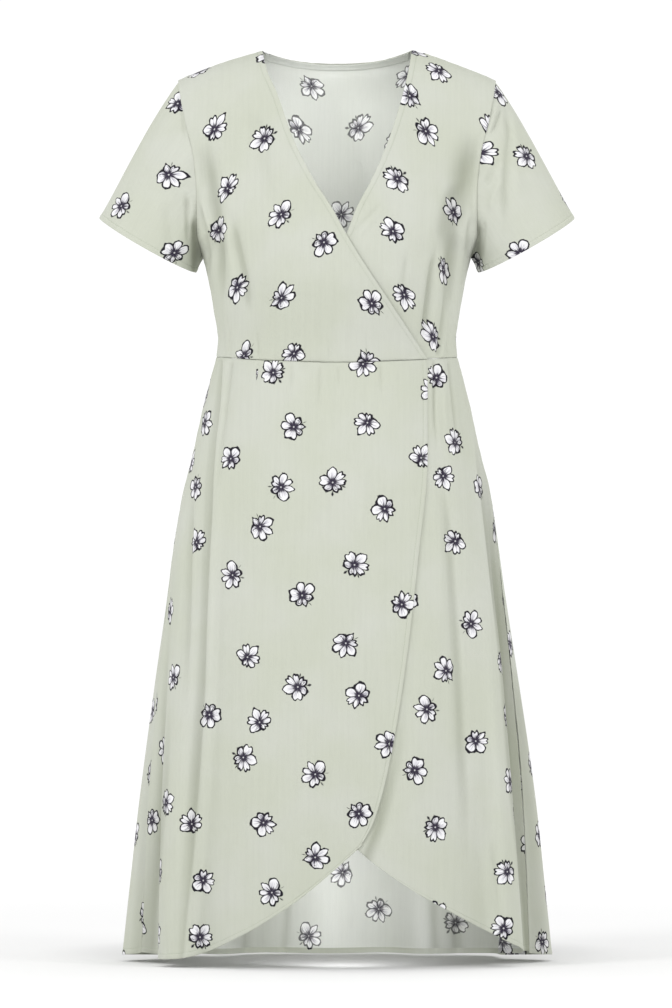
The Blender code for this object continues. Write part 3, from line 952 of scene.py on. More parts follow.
@dataclass(frozen=True)
class Viscose:
    """Printed viscose crepe: sage ground, white flowers with inky outlines and dark hearts."""

    name: str
    ground: Colour = (0.474, 0.495, 0.417)
    mottle: Colour = (0.498, 0.514, 0.457)
    streak: Colour = (0.955, 0.955, 0.955)    # how much the slubs and streaks darken it
    petal: Colour = (0.74, 0.74, 0.75)
    ink: Colour = (0.012, 0.011, 0.016)
    heart: Colour = (0.022, 0.017, 0.034)
    vein: Colour = (0.26, 0.24, 0.31)
    painted_shade: Colour = (0.42, 0.43, 0.37)       # painted shade: how much darker the cloth is made deep in a fold
    # a painted highlight: how much lighter the cloth is made on a crest
    painted_highlight: Colour = (1.12, 1.12, 1.12)
    strength: float = 1.0                     # how strongly the print's dark lines show
    whiteness: float = 1.0                    # how strongly its petals show
    side: float = 1.0                         # scales the painted fold shade and highlight; less than 0 on the inner side, where hollows are crests
    pen: Pen = Pen()
    crepe_depth: float = 0.00035
    roughness: float = 0.88

    def material(self) -> bpy.types.Material:
        """Build the material.

        Returns:
            The material, which reads the panel's cloth and flower maps, its kind, and its fold, the shade
            and highlight painted into its colour.
        """
        shader = Shader(self.name)
        cloth = shader.node("ShaderNodeUVMap", {"uv_map": "cloth"})
        # The fold attribute paints shade into the cloth's hollows and a highlight on its crests, multiplied
        # into the printed colour.
        fold = shader.node("ShaderNodeAttribute", {"attribute_name": "fold"}, (), "Fac") * self.side
        printed = self._print(shader, self._ground(shader, cloth))
        painted_shade = shader.mix((0.0 - fold).math("MAXIMUM", 0.0), printed, self.painted_shade, "MULTIPLY")
        shaded_and_lit = shader.mix(fold.math("MAXIMUM", 0.0), painted_shade, self.painted_highlight, "MULTIPLY")
        return shader.finish(shaded_and_lit, self._crepe(shader, cloth), self.crepe_depth,
                             Roughness=self.roughness, Sheen_Weight=0.04, Sheen_Roughness=0.5,
                             Specular_IOR_Level=0.15)

    @staticmethod
    def _threads(shader: Shader, cloth: Field, across: float, down: float, detail: float) -> Field:
        """Noise along the threads, this many times finer across and down the cloth than a metre."""
        u, v = shader.split(cloth)
        return shader.noise(shader.vector(u * across, v * down), 1.0, detail)

    def _ground(self, shader: Shader, cloth: Field) -> Field:
        """Colour the cloth under the print, with soft mottling and fine slubs down the grain.

        Args:
            shader: The material's node tree.
            cloth: The place on the cloth.

        Returns:
            The ground colour.
        """
        clouds = shader.noise(cloth, 9.0, 3.0)
        slubs = self._threads(shader, cloth, 900.0, 60.0, 2.0)
        streaks = self._threads(shader, cloth, 260.0, 9.0, 2.0)
        even = shader.mix(clouds.rise(0.35, 0.70), self.ground, self.mottle)
        streaked = shader.mix(streaks.rise(0.30, 0.75) * 0.5, even, self.streak, "MULTIPLY")
        return shader.mix(slubs.rise(0.35, 0.80) * 0.5, streaked, self.streak, "MULTIPLY")

    def _crepe(self, shader: Shader, cloth: Field) -> Field:
        """The height of the crepe's fine irregular threads, the higher of warp and weft."""
        warp = self._threads(shader, cloth, 1900.0, 420.0, 1.0)
        return warp.math("MAXIMUM", self._threads(shader, cloth, 420.0, 1900.0, 1.0))

    def _print(self, shader: Shader, ground: Field) -> Field:
        """Print the nearest flower over the ground colour.

        Args:
            shader: The material's node tree.
            ground: The ground colour.

        Returns:
            The printed colour.
        """
        flower = FlowerDrawing(shader, self.pen)
        veined = shader.mix(flower.veins(), self.petal, self.vein)
        petals = shader.mix(flower.inside * self.whiteness, ground, veined)
        inked = shader.mix(flower.lines() * self.strength, petals, self.ink)
        hearted = shader.mix(flower.heart() * self.strength, inked, self.heart)
        return shader.mix(flower.dot() * self.strength, hearted, self.petal)


@dataclass(frozen=True)
class Thread:
    """Sewing thread, a little deeper than the cloth."""

    colour: Colour = (0.34, 0.38, 0.29)
    sheen: float = 1.25           # how much lighter a highlight painted on its plies makes them, where they would catch the light
    ply_depth: float = 0.0001

    def material(self) -> bpy.types.Material:
        """Build the material, with the twist of its plies and a highlight painted along them.

        Returns:
            The material, which reads Object coordinates.
        """
        shader = Shader("thread")
        plies = shader.noise(shader.node("ShaderNodeTexCoord", None, (), "Object"), 2600.0, 1.0)
        # A highlight painted on the plies where the noise is high.
        colour = shader.mix(plies, self.colour, tuple(part * self.sheen for part in self.colour))
        return shader.finish(colour, plies, self.ply_depth, Roughness=0.6)


# ---------------- panels


HOLLOWS = ((0.005, 0.28), (0.016, 0.85))    # reaches and gains of the shade painted in folds
SEAM_HOLD = (-0.002, 0.009)                 # where a seam stops holding the cloth flat
GROOVE_DEPTH = 0.0005                       # of the line along which a turned band is stitched
GROOVE_WIDTH = 0.0009
BAND_STEP = (0.0006, 0.0022)                # past a band, where its extra thickness ends
BAND_TURN = 0.0004                          # how far past a band its turning shows inside
CREASE_SLACK = 0.001                        # a fading crease starts and ends just past its path
CREASE_OVERRUN = 0.05                       # how far a crease goes back from a full start
FACE_EASE = (-0.006, 0.014)                 # where a crease of one half of a tube begins
FINE_NET = (0.0, 0.0007, 0.0014, 0.0024, 0.0036, 0.0048, 0.0057, 0.0064, 0.0072, 0.0084, 0.0104)
LATTICE = 48                                # the ripples' draws, in rows and columns
LATTICE_START = (24.0, 3.0)


@dataclass(frozen=True)
class EdgeFinish:
    """How one edge of a panel is finished."""

    dip: float = 0.0          # how far the edge sinks inward
    dip_width: float = 0.0013
    band: float = 0.0         # width of the turned and stitched band
    pucker: float = 0.0       # height of the small puckers along it
    held: bool = False        # a seam that holds the cloth flat beside it


SEAMED = EdgeFinish(dip=0.0006, dip_width=0.0009, pucker=0.00035, held=True)
ARMHOLE = EdgeFinish(dip=0.0002, pucker=0.0004, held=True)
UNDERARM = EdgeFinish(dip=0.0006, dip_width=0.0012)
HEMMED = EdgeFinish(dip=0.0003, band=0.0062, pucker=0.00018)
PLAIN = EdgeFinish()


def finished(left: EdgeFinish, right: EdgeFinish, top: EdgeFinish,
             bottom: EdgeFinish) -> dict[Edge, EdgeFinish]:
    """A panel's edges with their finishes."""
    return dict(zip(Edge, (left, right, top, bottom)))


@dataclass(frozen=True)
class Crease:
    """One soft fold placed along a bent line: a trough, or a ridge where its height is above 0."""

    path: tuple[tuple[float, float], ...]    # x and drop of points on it, going down
    width: float
    height: float
    widen: float = 1.0           # its last width as a multiple of its first
    lean: float = 0.0            # how much wider its flank on the left is than the one on the right
    start: float = 0.25          # the share of its length in which it deepens
    end: float = 0.35            # the share of its length in which it dies away
    face: Face | None = None     # the half of a tube that it keeps to
    shade: float = 0.0           # shade painted along it, beyond its own depth; below 0, a painted highlight outside and painted shade inside

    def strength(self, points: Array) -> Array:
        """Measure how far points are on the crease.

        Args:
            points: The points, on the last axis.

        Returns:
            1 on its line, falling to 0 beside it and at its ends.
        """
        x, drop = points[..., 0], -points[..., 2]
        line, drops = np.array(self.path).T
        part = (drop - drops[0]) / (drops[-1] - drops[0])
        slope = np.gradient(line, drops)
        level = 1.0 / np.sqrt(1.0 + np.interp(drop, drops, slope) ** 2)
        side = (x - smooth(drop, drops, line)) * level
        spread = self.width * (1.0 + (self.widen - 1.0) * np.clip(part, 0.0, 1.0))
        spread = spread * (1.0 - self.lean * np.sign(side))
        taper = (part > -CREASE_OVERRUN) * 1.0
        if self.start:
            taper = ease_between(part, -CREASE_SLACK, self.start)
        if self.end:
            taper = taper * (1.0 - ease_between(part, 1.0 - self.end, 1.0 + CREASE_SLACK))
        if self.face is not None:
            taper = taper * ease_between(points[..., 1] * float(self.face), *FACE_EASE)
        return taper * np.exp(-(side / spread) ** 2)


below_seam = partial(Crease, start=0.0, end=0.6)     # deepest at the seam above, which gathers it
above_seam = partial(Crease, start=0.6, end=0.0)
on_front = partial(Crease, face=Face.FRONT)
on_back = partial(Crease, face=Face.BACK)


@dataclass(frozen=True)
class Ripple:
    """Soft uneven waves in the cloth: their size across and down it, their height and their lot."""

    across: float
    down: float
    height: float
    lot: int

    def relief(self, flat: Array) -> Array:
        """Read the waves from a lattice of drawn heights.

        Args:
            flat: The flat places to read them at.

        Returns:
            Their heights there.
        """
        last = LATTICE - 1
        draws = np.random.default_rng(self.lot).uniform(-1.0, 1.0, (LATTICE, LATTICE))
        places = [(flat[..., axis] / size + start) % float(last)
                  for axis, size, start in zip((0, 1), (self.across, self.down), LATTICE_START)]
        whole = [np.floor(place).astype(int) for place in places]
        part = [ease_between(place - cell, 0.0, 1.0) for place, cell in zip(places, whole)]
        upper = draws[whole[1], whole[0]] * (1.0 - part[0]) + draws[whole[1], whole[0] + 1] * part[0]
        below = np.minimum(whole[1] + 1, last)
        lower = draws[below, whole[0]] * (1.0 - part[0]) + draws[below, whole[0] + 1] * part[0]
        return self.height * (upper * (1.0 - part[1]) + lower * part[1])


PUCKERS = Ripple(0.0075, 0.0075, 1.0, 5)    # along finished edges, each finish with its own height
PUCKER_REACH = 0.010


@dataclass
class Panel:
    """One cut piece as a thin shell of cloth on its form."""

    name: str
    node: str                            # the CAD node that it stands for
    form: Form
    trace: Trace                         # turns and levels at shares across and down the panel
    size: tuple[float, float]            # about how wide and long it is, to space its net
    edges: dict[Edge, EdgeFinish]
    cut: Cut
    flat_cut: tuple[float, float]
    flat_area: float
    creases: Sequence[Crease] = ()
    ripples: Sequence[Ripple] = ()
    shift: Shift | None = None           # moves points, given with their turns, off the form
    inset: float = 0.0
    closed: bool = False                 # its left and right edges are sewn to each other
    cell: tuple[float, float] = (0.0025, 0.0040)
    wall: float = 0.0012                 # at a stitched band; plain cloth is thinner
    plain_share: float = 0.42
    hollows: Sequence[tuple[float, float]] = HOLLOWS
    across: Array = field(init=False)    # the net's columns, as shares across the panel
    down: Array = field(init=False)      # its rows, as shares down it
    outer: Array = field(init=False)     # points of the outer side
    normals: Array = field(init=False)
    distances: dict[Edge, Array] = field(init=False)
    fold: Array = field(init=False)      # painted shade where less than 0, in a hollow, and painted highlight where more, on a crest

    def build(self, outside: bpy.types.Material, inside: bpy.types.Material) -> bpy.types.Object:
        """Make the panel's mesh and dress it.

        Args:
            outside: The finish of its outer side.
            inside: The finish of its inner side.

        Returns:
            The panel's object.
        """
        self.across = net_shares(self.size[0], self.cell[0], self.edges[Edge.LEFT], self.edges[Edge.RIGHT])
        self.down = net_shares(self.size[1], self.cell[1], self.edges[Edge.TOP], self.edges[Edge.BOTTOM])
        turn, level = self.trace(*np.meshgrid(self.across, self.down))
        flat = self.form.flat(turn, level)
        points = self.form.point(turn, level)
        if self.shift is not None:
            points = self.shift(points, turn)
        self.normals, way = facing_out(points)
        self.distances = self._distances(points)
        points = self._relieved(points, flat)
        self.outer = points + self.normals * self.wall * 0.5 * self._share()[..., None]
        mesh = self._mesh(points, flat, way)
        mesh.materials.append(outside)
        mesh.materials.append(inside)
        piece = add_piece(self.name, mesh)
        self._thicken(piece)
        return piece

    def _distances(self, points: Array) -> dict[Edge, Array]:
        """How far each point lies from each edge, along the net."""
        left, top = lengths_along(points, axis=1), lengths_along(points, axis=0)
        return dict(zip(Edge, (left, left[:, -1:] - left, top, top[-1:] - top)))

    def _relieved(self, points: Array, flat: Array) -> Array:
        """Press creases, ripples and edges into the smooth form, and work out the shade and highlight to be
        painted on its folds.

        Args:
            points: The net's points on the form.
            flat: Their flat places.

        Returns:
            The points in relief.
        """
        height = np.full(points.shape[:2], -self.inset)
        shade = np.zeros(points.shape[:2])
        free = np.ones(points.shape[:2])
        for edge, finish in self.edges.items():
            if finish.held:
                free = free * ease_between(self.distances[edge], *SEAM_HOLD)
        for crease in self.creases:
            strength = crease.strength(points)
            height = height + crease.height * strength * free
            shade = shade + crease.shade * strength
        for ripple in self.ripples:
            height = height + ripple.relief(flat)
        puckers = PUCKERS.relief(flat)
        for edge, finish in self.edges.items():
            away = self.distances[edge]
            height = height - finish.dip * np.exp(-(away / finish.dip_width) ** 2)
            height = height + finish.pucker * puckers * np.exp(-away / PUCKER_REACH)
            if finish.band:
                height = height - GROOVE_DEPTH * np.exp(-((away - finish.band) / GROOVE_WIDTH) ** 2)
        relieved = points + self.normals * height[..., None]
        # The shade painted in the folds deepens with how far each point lies in a hollow, and turns to a
        # painted highlight on a crest.
        for reach, gain in self.hollows:
            shade = shade + gain * hollowness(relieved, self.normals, reach)
        self.fold = -shade
        return relieved

    def _share(self) -> Array:
        """Work out the cloth's thickness.

        Returns:
            Its share of the wall at each point, whole in the stitched bands.
        """
        share = np.full(self.fold.shape, self.plain_share)
        for edge, finish in self.edges.items():
            if finish.band:
                ends = (finish.band + BAND_STEP[0], finish.band + BAND_STEP[1])
                inside = 1.0 - ease_between(self.distances[edge], *ends)
                share = np.maximum(share, self.plain_share + (1.0 - self.plain_share) * inside)
        return share

    def _turned(self) -> Array:
        """Find where the cloth is turned in.

        Returns:
            Whether its outer side shows on the inside too, at each point.
        """
        turned = np.zeros(self.fold.shape, dtype=bool)
        for edge, finish in self.edges.items():
            if finish.band:
                turned |= self.distances[edge] < finish.band + BAND_TURN
        return turned

    def _mesh(self, points: Array, flat: Array, way: float) -> bpy.types.Mesh:
        """Join the net's points to a surface and give it its maps.

        Args:
            points: The net's points.
            flat: Their flat places.
            way: Less than 0 where the net's own faces point inward.

        Returns:
            The mesh, as yet without a wall.
        """
        rows, columns = points.shape[:2]
        corner = (np.arange(rows - 1)[:, None] * columns + np.arange(columns - 1)).reshape(-1)
        faces = np.stack([corner, corner + 1, corner + columns + 1, corner + columns], axis=1)
        if way < 0.0:
            faces = faces[:, ::-1]
        cloth = self.cut.on_cloth(flat.reshape(-1, 2)[faces])
        if self.closed:
            welded = np.arange(rows * columns)
            welded[columns - 1::columns] = np.arange(rows) * columns
            faces = welded[faces]
        mesh = bpy.data.meshes.new(self.name)
        mesh.from_pydata(points.reshape(-1, 3).tolist(), [], faces.tolist())
        local, chosen = nearest_flowers(cloth)
        kinds = np.array([flower.kind for flower in FLOWERS])[chosen]
        for name, places in (("cloth", cloth), ("flower", local)):
            mesh.uv_layers.new(name=name).data.foreach_set("uv", places.reshape(-1).astype(np.float32))
        turned = self._turned().reshape(-1)[faces].all(axis=1)
        # The fold attribute carries the painted shade and highlight to the material.
        fold = np.clip(self.fold, -1.0, 1.0).reshape(-1).astype(np.float32)
        for name, kind, domain, values in (
                ("fold", "FLOAT", "POINT", fold), ("turned", "BOOLEAN", "FACE", turned),
                ("kind", "FLOAT", "FACE", kinds.astype(np.float32))):
            mesh.attributes.new(name, kind, domain).data.foreach_set("value", values)
        return mesh

    def _thicken(self, piece: bpy.types.Object) -> None:
        """Give the surface its wall, thicker in its stitched bands, and its inside finish.

        Args:
            piece: The panel's object.
        """
        group = piece.vertex_groups.new(name="thickness")
        for number, share in enumerate(self._share().reshape(-1).tolist()):
            group.add([number], share, "REPLACE")
        wall = piece.modifiers.new("wall", "SOLIDIFY")
        wall.thickness = self.wall
        wall.offset = 0.0
        wall.vertex_group = group.name
        wall.material_offset = 1
        apply_modifiers(piece)
        if self.closed:
            drop_loose_points(piece)
        piece.vertex_groups.clear()
        self._show_turnings(piece.data)

    @staticmethod
    def _show_turnings(mesh: bpy.types.Mesh) -> None:
        """Give turned cloth the outside finish on the inside too.

        Args:
            mesh: The panel's shell.
        """
        slots = np.zeros(len(mesh.polygons), dtype=np.int32)
        turned = np.zeros(len(mesh.polygons), dtype=bool)
        mesh.polygons.foreach_get("material_index", slots)
        mesh.attributes["turned"].data.foreach_get("value", turned)
        slots[turned] = 0
        mesh.polygons.foreach_set("material_index", slots)

    def at(self, across: Array, down: Array) -> tuple[Array, Array]:
        """Read the outer side.

        Args:
            across: Shares across the panel.
            down: Shares down it.

        Returns:
            The points and the normals there.
        """
        column = np.interp(across, self.across, np.arange(len(self.across)))
        row = np.interp(down, self.down, np.arange(len(self.down)))
        return bilinear(self.outer, column, row), bilinear(self.normals, column, row)

    def beside(self, edge: Edge, distance: float) -> tuple[Array, Array]:
        """Follow an edge.

        Args:
            edge: The edge.
            distance: How far inside it.

        Returns:
            Shares across and down the panel of the line that follows it.
        """
        away = self.distances[edge]
        inward = slice(None) if edge in (Edge.LEFT, Edge.TOP) else slice(None, None, -1)
        if edge in (Edge.LEFT, Edge.RIGHT):
            across = [np.interp(distance, row[inward], self.across[inward]) for row in away]
            return np.array(across), self.down.copy()
        down = [np.interp(distance, column[inward], self.down[inward]) for column in away.T]
        return self.across.copy(), np.array(down)


def net_shares(length: float, cell: float, first: EdgeFinish, last: EdgeFinish) -> Array:
    """Divide a net: close together at finished edges, evenly between them.

    Args:
        length: The net's length.
        cell: The width of its even cells.
        first: The finish of the edge where it starts.
        last: The finish of the edge where it ends.

    Returns:
        The shares at which it is divided.
    """
    start = np.array(FINE_NET if first is not PLAIN else [0.0])
    end = length - np.array(FINE_NET if last is not PLAIN else [0.0])[::-1]
    between = np.linspace(start[-1], end[0], int((end[0] - start[-1]) / cell) + 2)[1:-1]
    return np.concatenate([start, between, end]) / length


def facing_out(points: Array) -> tuple[Array, float]:
    """Find a net's outward normals.

    Args:
        points: The net's points.

    Returns:
        Its normals, turned away from its rows' middles, and the sign that turned them.
    """
    normals = np.cross(np.gradient(points, axis=1), np.gradient(points, axis=0))
    normals = normals / np.maximum(np.linalg.norm(normals, axis=-1, keepdims=True), 1e-12)
    away = points - points.mean(axis=1, keepdims=True)
    way = 1.0 if (normals * away).sum() > 0.0 else -1.0
    return normals * way, way


def hollowness(points: Array, normals: Array, reach: float) -> Array:
    """Measure how deep points lie in a hollow.

    Args:
        points: A net's points.
        normals: Their outward normals.
        reach: How far to each side along their row they are compared.

    Returns:
        Their depth below the middle of the points on both sides, as a share of the reach.
    """
    result = np.zeros(points.shape[:2])
    for row, line in enumerate(points):
        along = lengths_along(line)
        room = np.minimum(reach, np.minimum(along, along[-1] - along))
        middle = (points_along(along - room, along, line) + points_along(along + room, along, line)) / 2.0
        result[row] = ((middle - line) * normals[row]).sum(axis=-1) / reach
    return result


def select_only(piece: bpy.types.Object) -> None:
    """Make one object the only selected and active one.

    Args:
        piece: The object.
    """
    for other in bpy.context.selected_objects:
        other.select_set(False)
    piece.select_set(True)
    bpy.context.view_layer.objects.active = piece


def apply_modifiers(piece: bpy.types.Object) -> None:
    """Apply a piece's modifiers in order.

    Args:
        piece: The piece.
    """
    select_only(piece)
    for modifier in list(piece.modifiers):
        bpy.ops.object.modifier_apply(modifier=modifier.name)


def drop_loose_points(piece: bpy.types.Object) -> None:
    """Delete a piece's points that no face uses.

    Args:
        piece: The piece.
    """
    select_only(piece)
    bpy.ops.object.mode_set(mode="EDIT")
    bpy.ops.mesh.select_all(action="SELECT")
    bpy.ops.mesh.delete_loose()
    bpy.ops.object.mode_set(mode="OBJECT")


def add_piece(name: str, mesh: bpy.types.Mesh) -> bpy.types.Object:
    """Put a mesh in the scene.

    Args:
        name: The piece's name.
        mesh: Its mesh, with its place in it.

    Returns:
        The piece, shaded smooth.
    """
    mesh.shade_smooth()
    piece = bpy.data.objects.new(name, mesh)
    bpy.context.scene.collection.objects.link(piece)
    return piece


# ---------------- stitching


# Where rings of a stitch lie along it, their widths and how far they are lifted, in radii
STITCH_RINGS = ((0.0, 0.35, -0.9), (0.16, 0.9, 0.0), (0.84, 0.9, 0.0), (1.0, 0.35, -0.9))


@dataclass
class StitchRow:
    """Machine stitches in rows, each a short sunken capsule of thread, joined in one mesh."""

    name: str
    pitch: float = 0.0030
    length: float = 0.0023
    radius: float = 0.00021
    sides: int = 5
    starts: list[Array] = field(default_factory=list)
    ends: list[Array] = field(default_factory=list)
    ups: list[Array] = field(default_factory=list)

    def follow(self, panel: Panel, edge: Edge, distance: float) -> None:
        """Sew along an edge of a panel.

        Args:
            panel: The panel, already built.
            edge: Which of its edges.
            distance: How far inside that edge.
        """
        points, normals = panel.at(*panel.beside(edge, distance))
        along = lengths_along(points)
        places = np.arange(self.pitch, along[-1] - self.pitch, self.pitch)
        self.starts.append(points_along(places, along, points))
        self.ends.append(points_along(places + self.length, along, points))
        self.ups.append(points_along(places + self.length / 2.0, along, normals))

    def build(self, material: bpy.types.Material) -> bpy.types.Object:
        """Make the mesh of all the stitches.

        Args:
            material: The thread's finish.

        Returns:
            The stitches' object.
        """
        points = self._points()
        count = points.shape[1]
        faces = [tuple(corner + number * count for corner in face)
                 for number in range(len(points)) for face in self._capsule_faces()]
        mesh = bpy.data.meshes.new(self.name)
        mesh.from_pydata(points.reshape(-1, 3).tolist(), [], faces)
        mesh.materials.append(material)
        return add_piece(self.name, mesh)

    def _points(self) -> Array:
        """Place the points of every stitch, ring after ring.

        Returns:
            The points, in a row for each stitch.
        """
        start, end, up = (np.concatenate(parts) for parts in (self.starts, self.ends, self.ups))
        side = np.cross(end - start, up)
        side = side / np.linalg.norm(side, axis=-1, keepdims=True)
        places = []
        for share, width, lift in STITCH_RINGS:
            middle = start * (1.0 - share) + end * share + up * self.radius * lift
            for angle in np.linspace(0.0, FULL_TURN, self.sides, endpoint=False):
                spoke = side * math.cos(angle) + up * math.sin(angle)
                places.append(middle + spoke * self.radius * width)
        return np.stack(places, axis=1)

    def _capsule_faces(self) -> list[tuple[int, ...]]:
        """Join the points of one stitch.

        Returns:
            Its faces: its sides, then its two ends.
        """
        count = len(STITCH_RINGS) * self.sides
        faces = []
        for low in range(0, count - self.sides, self.sides):
            high = low + self.sides
            for spoke in range(self.sides):
                after = (spoke + 1) % self.sides
                faces.append((low + spoke, low + after, high + after, high + spoke))
        return faces + [tuple(range(self.sides))[::-1], tuple(range(count - self.sides, count))]


# ---------------- sub-assemblies


def side_gap(depth: Array, roundness: Array) -> Array:
    """The turn that leaves half a seam's gap at a side seam."""
    return (SEAM / 2.0 / depth) ** (1.0 / roundness)


def step_back(over: Chart, points: Array, turn: Array) -> Array:
    """Move an under front's points behind the over front where it covers them.

    Args:
        over: The chart of the over front's edge.
        points: The under front's points.
        turn: Their turns.

    Returns:
        The moved points.
    """
    covered = over.read("over", -points[..., 2]) - points[..., 0]
    cover = ease_between(0.5 + (covered + WRAP_LEAD) / WRAP_EASE, 0.0, 1.0)
    moved = points.copy()
    moved[..., :2] -= outward_of(turn, *WRAP_OVAL) * (WRAP * cover)[..., None]
    return moved


class SubAssembly:
    """Panels that belong together, and the stitches along their turned bands."""

    stitches: str             # the name of its stitches' piece
    built: Sequence[Panel]

    def panels(self) -> list[Panel]:
        """The panels, marked out but not yet built."""
        raise NotImplementedError

    def build(self, outside: bpy.types.Material, inside: bpy.types.Material) -> None:
        """Build the panels, hang each on the frame's root and hide the CAD part that it stands for.

        Args:
            outside: The finish of the panels' outer side.
            inside: The finish of their inner side.
        """
        self.built = self.panels()
        for panel in self.built:
            piece = panel.build(outside, inside)
            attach(piece, "root")
            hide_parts(panel.node)
            LOG.info("%s: %d faces", panel.name, len(piece.data.polygons))

    def sew(self, thread: bpy.types.Material) -> None:
        """Sew along every turned band of the panels.

        Args:
            thread: The stitches' finish.
        """
        sewing = StitchRow(self.stitches)
        for panel in self.built:
            for edge, finish in panel.edges.items():
                if finish.band:
                    sewing.follow(panel, edge, finish.band)
        piece = sewing.build(thread)
        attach(piece, "root")
        LOG.info("%s: %d faces", self.stitches, len(piece.data.polygons))


# The folds of the panels, as their paths going down, widths and heights; a shade paints darkness along
# some, and those of height 0 are painted shade or highlight alone.
OVER_FRONT_FOLDS = (
    Crease(((-0.152, 0.095), (-0.148, 0.14), (-0.141, 0.185), (-0.137, 0.225), (-0.135, 0.26),
           (-0.133, 0.315)), 0.015, -0.006, widen=0.32, lean=0.15, shade=0.1),
    Crease(((-0.159, 0.163), (-0.153, 0.19), (-0.146, 0.212), (-0.139, 0.228)), 0.003, 0.0026, end=0.1),
    Crease(((-0.139, 0.226), (-0.1435, 0.243), (-0.1445, 0.275)), 0.003, 0.0018, start=0.1),
    Crease(((-0.159, 0.178), (-0.1545, 0.205), (-0.15, 0.232), (-0.1475, 0.268)), 0.0022, -0.0026),
    Crease(((-0.128, 0.195), (-0.1245, 0.22), (-0.121, 0.247), (-0.119, 0.3)), 0.0036, 0.0018),
    Crease(((-0.123, 0.188), (-0.1165, 0.222), (-0.111, 0.247), (-0.106, 0.27), (-0.102, 0.315)), 0.0052,
           -0.004, end=0.25),
    above_seam(((-0.1365, 0.28), (-0.1325, 0.325), (-0.1305, 0.362)), 0.0028, -0.0018),
    above_seam(((-0.1275, 0.3), (-0.1245, 0.34), (-0.124, 0.362)), 0.0018, -0.0013),
    above_seam(((-0.1175, 0.32), (-0.1165, 0.362)), 0.0014, 0.0009),
    above_seam(((-0.0945, 0.31), (-0.0915, 0.345), (-0.0905, 0.362)), 0.0016, -0.0013),
    above_seam(((-0.01, 0.33), (-0.009, 0.364)), 0.0018, -0.0008),
    above_seam(((0.033, 0.325), (0.035, 0.364)), 0.0018, -0.0008),
    Crease(((-0.1, 0.06), (-0.085, 0.12), (-0.076, 0.2)), 0.015, -0.0018),
)
UNDER_FRONT_FOLDS = (
    Crease(((0.156, 0.085), (0.152, 0.135), (0.146, 0.18), (0.138, 0.212), (0.134, 0.25), (0.13, 0.29),
           (0.127, 0.325)), 0.0215, -0.007, widen=0.32, shade=0.1),
    Crease(((0.142, 0.15), (0.128, 0.185), (0.1215, 0.215), (0.12, 0.24)), 0.0095, -0.0022, shade=0.14),
    Crease(((0.152, 0.085), (0.142, 0.15), (0.132, 0.195), (0.132, 0.25), (0.128, 0.32)), 0.027, -0.001,
           widen=0.45, shade=0.17),
    Crease(((0.115, 0.225), (0.1085, 0.262), (0.104, 0.3), (0.0985, 0.343)), 0.0036, -0.0044, end=0.2),
    Crease(((0.149, 0.2), (0.1455, 0.235), (0.141, 0.265), (0.137, 0.295), (0.134, 0.335)), 0.0042, 0.0026),
    Crease(((0.118, 0.255), (0.1145, 0.295), (0.11, 0.32), (0.1035, 0.345)), 0.0036, 0.002),
    above_seam(((0.1285, 0.265), (0.1225, 0.315), (0.1165, 0.358)), 0.003, -0.0036),
    above_seam(((0.1285, 0.305), (0.1235, 0.33), (0.12, 0.358)), 0.002, 0.0012),
    above_seam(((0.13, 0.315), (0.1262, 0.358)), 0.002, -0.002),
    Crease(((0.081, 0.235), (0.0765, 0.275), (0.075, 0.3)), 0.0032, -0.0015),
    Crease(((0.06, 0.184), (0.04, 0.202), (0.017, 0.228)), 0.0024, 0.001),
    Crease(((0.054, 0.178), (0.034, 0.198), (0.015, 0.219)), 0.0026, -0.0011),
    Crease(((0.158, 0.195), (0.1535, 0.22), (0.15, 0.245)), 0.0028, -0.003),
)
WHOLE_BACK_FOLDS = (
    Crease(((-0.15, 0.15), (-0.14, 0.2), (-0.118, 0.25), (-0.092, 0.29)), 0.0085, -0.0045),
    Crease(((-0.146, 0.215), (-0.126, 0.255), (-0.108, 0.3)), 0.004, 0.0018),
    Crease(((0.153, 0.14), (0.141, 0.195), (0.121, 0.245), (0.099, 0.3)), 0.01, -0.0052),
    Crease(((0.147, 0.21), (0.131, 0.25), (0.117, 0.305)), 0.004, 0.0018),
    above_seam(((-0.118, 0.285), (-0.121, 0.325), (-0.122, 0.357)), 0.0032, -0.0026),
    above_seam(((-0.103, 0.3), (-0.106, 0.357)), 0.0026, -0.0018),
    above_seam(((-0.06, 0.29), (-0.053, 0.357)), 0.0034, -0.0018),
    above_seam(((0.02, 0.315), (0.016, 0.357)), 0.0026, -0.0011),
    above_seam(((0.082, 0.285), (0.075, 0.357)), 0.0036, -0.002),
    above_seam(((0.112, 0.27), (0.117, 0.315), (0.119, 0.357)), 0.0032, -0.0028),
    Crease(((0.03, 0.06), (0.046, 0.13), (0.05, 0.22)), 0.014, -0.0016),
    Crease(((-0.04, 0.07), (-0.058, 0.14), (-0.06, 0.23)), 0.014, -0.0018),
)


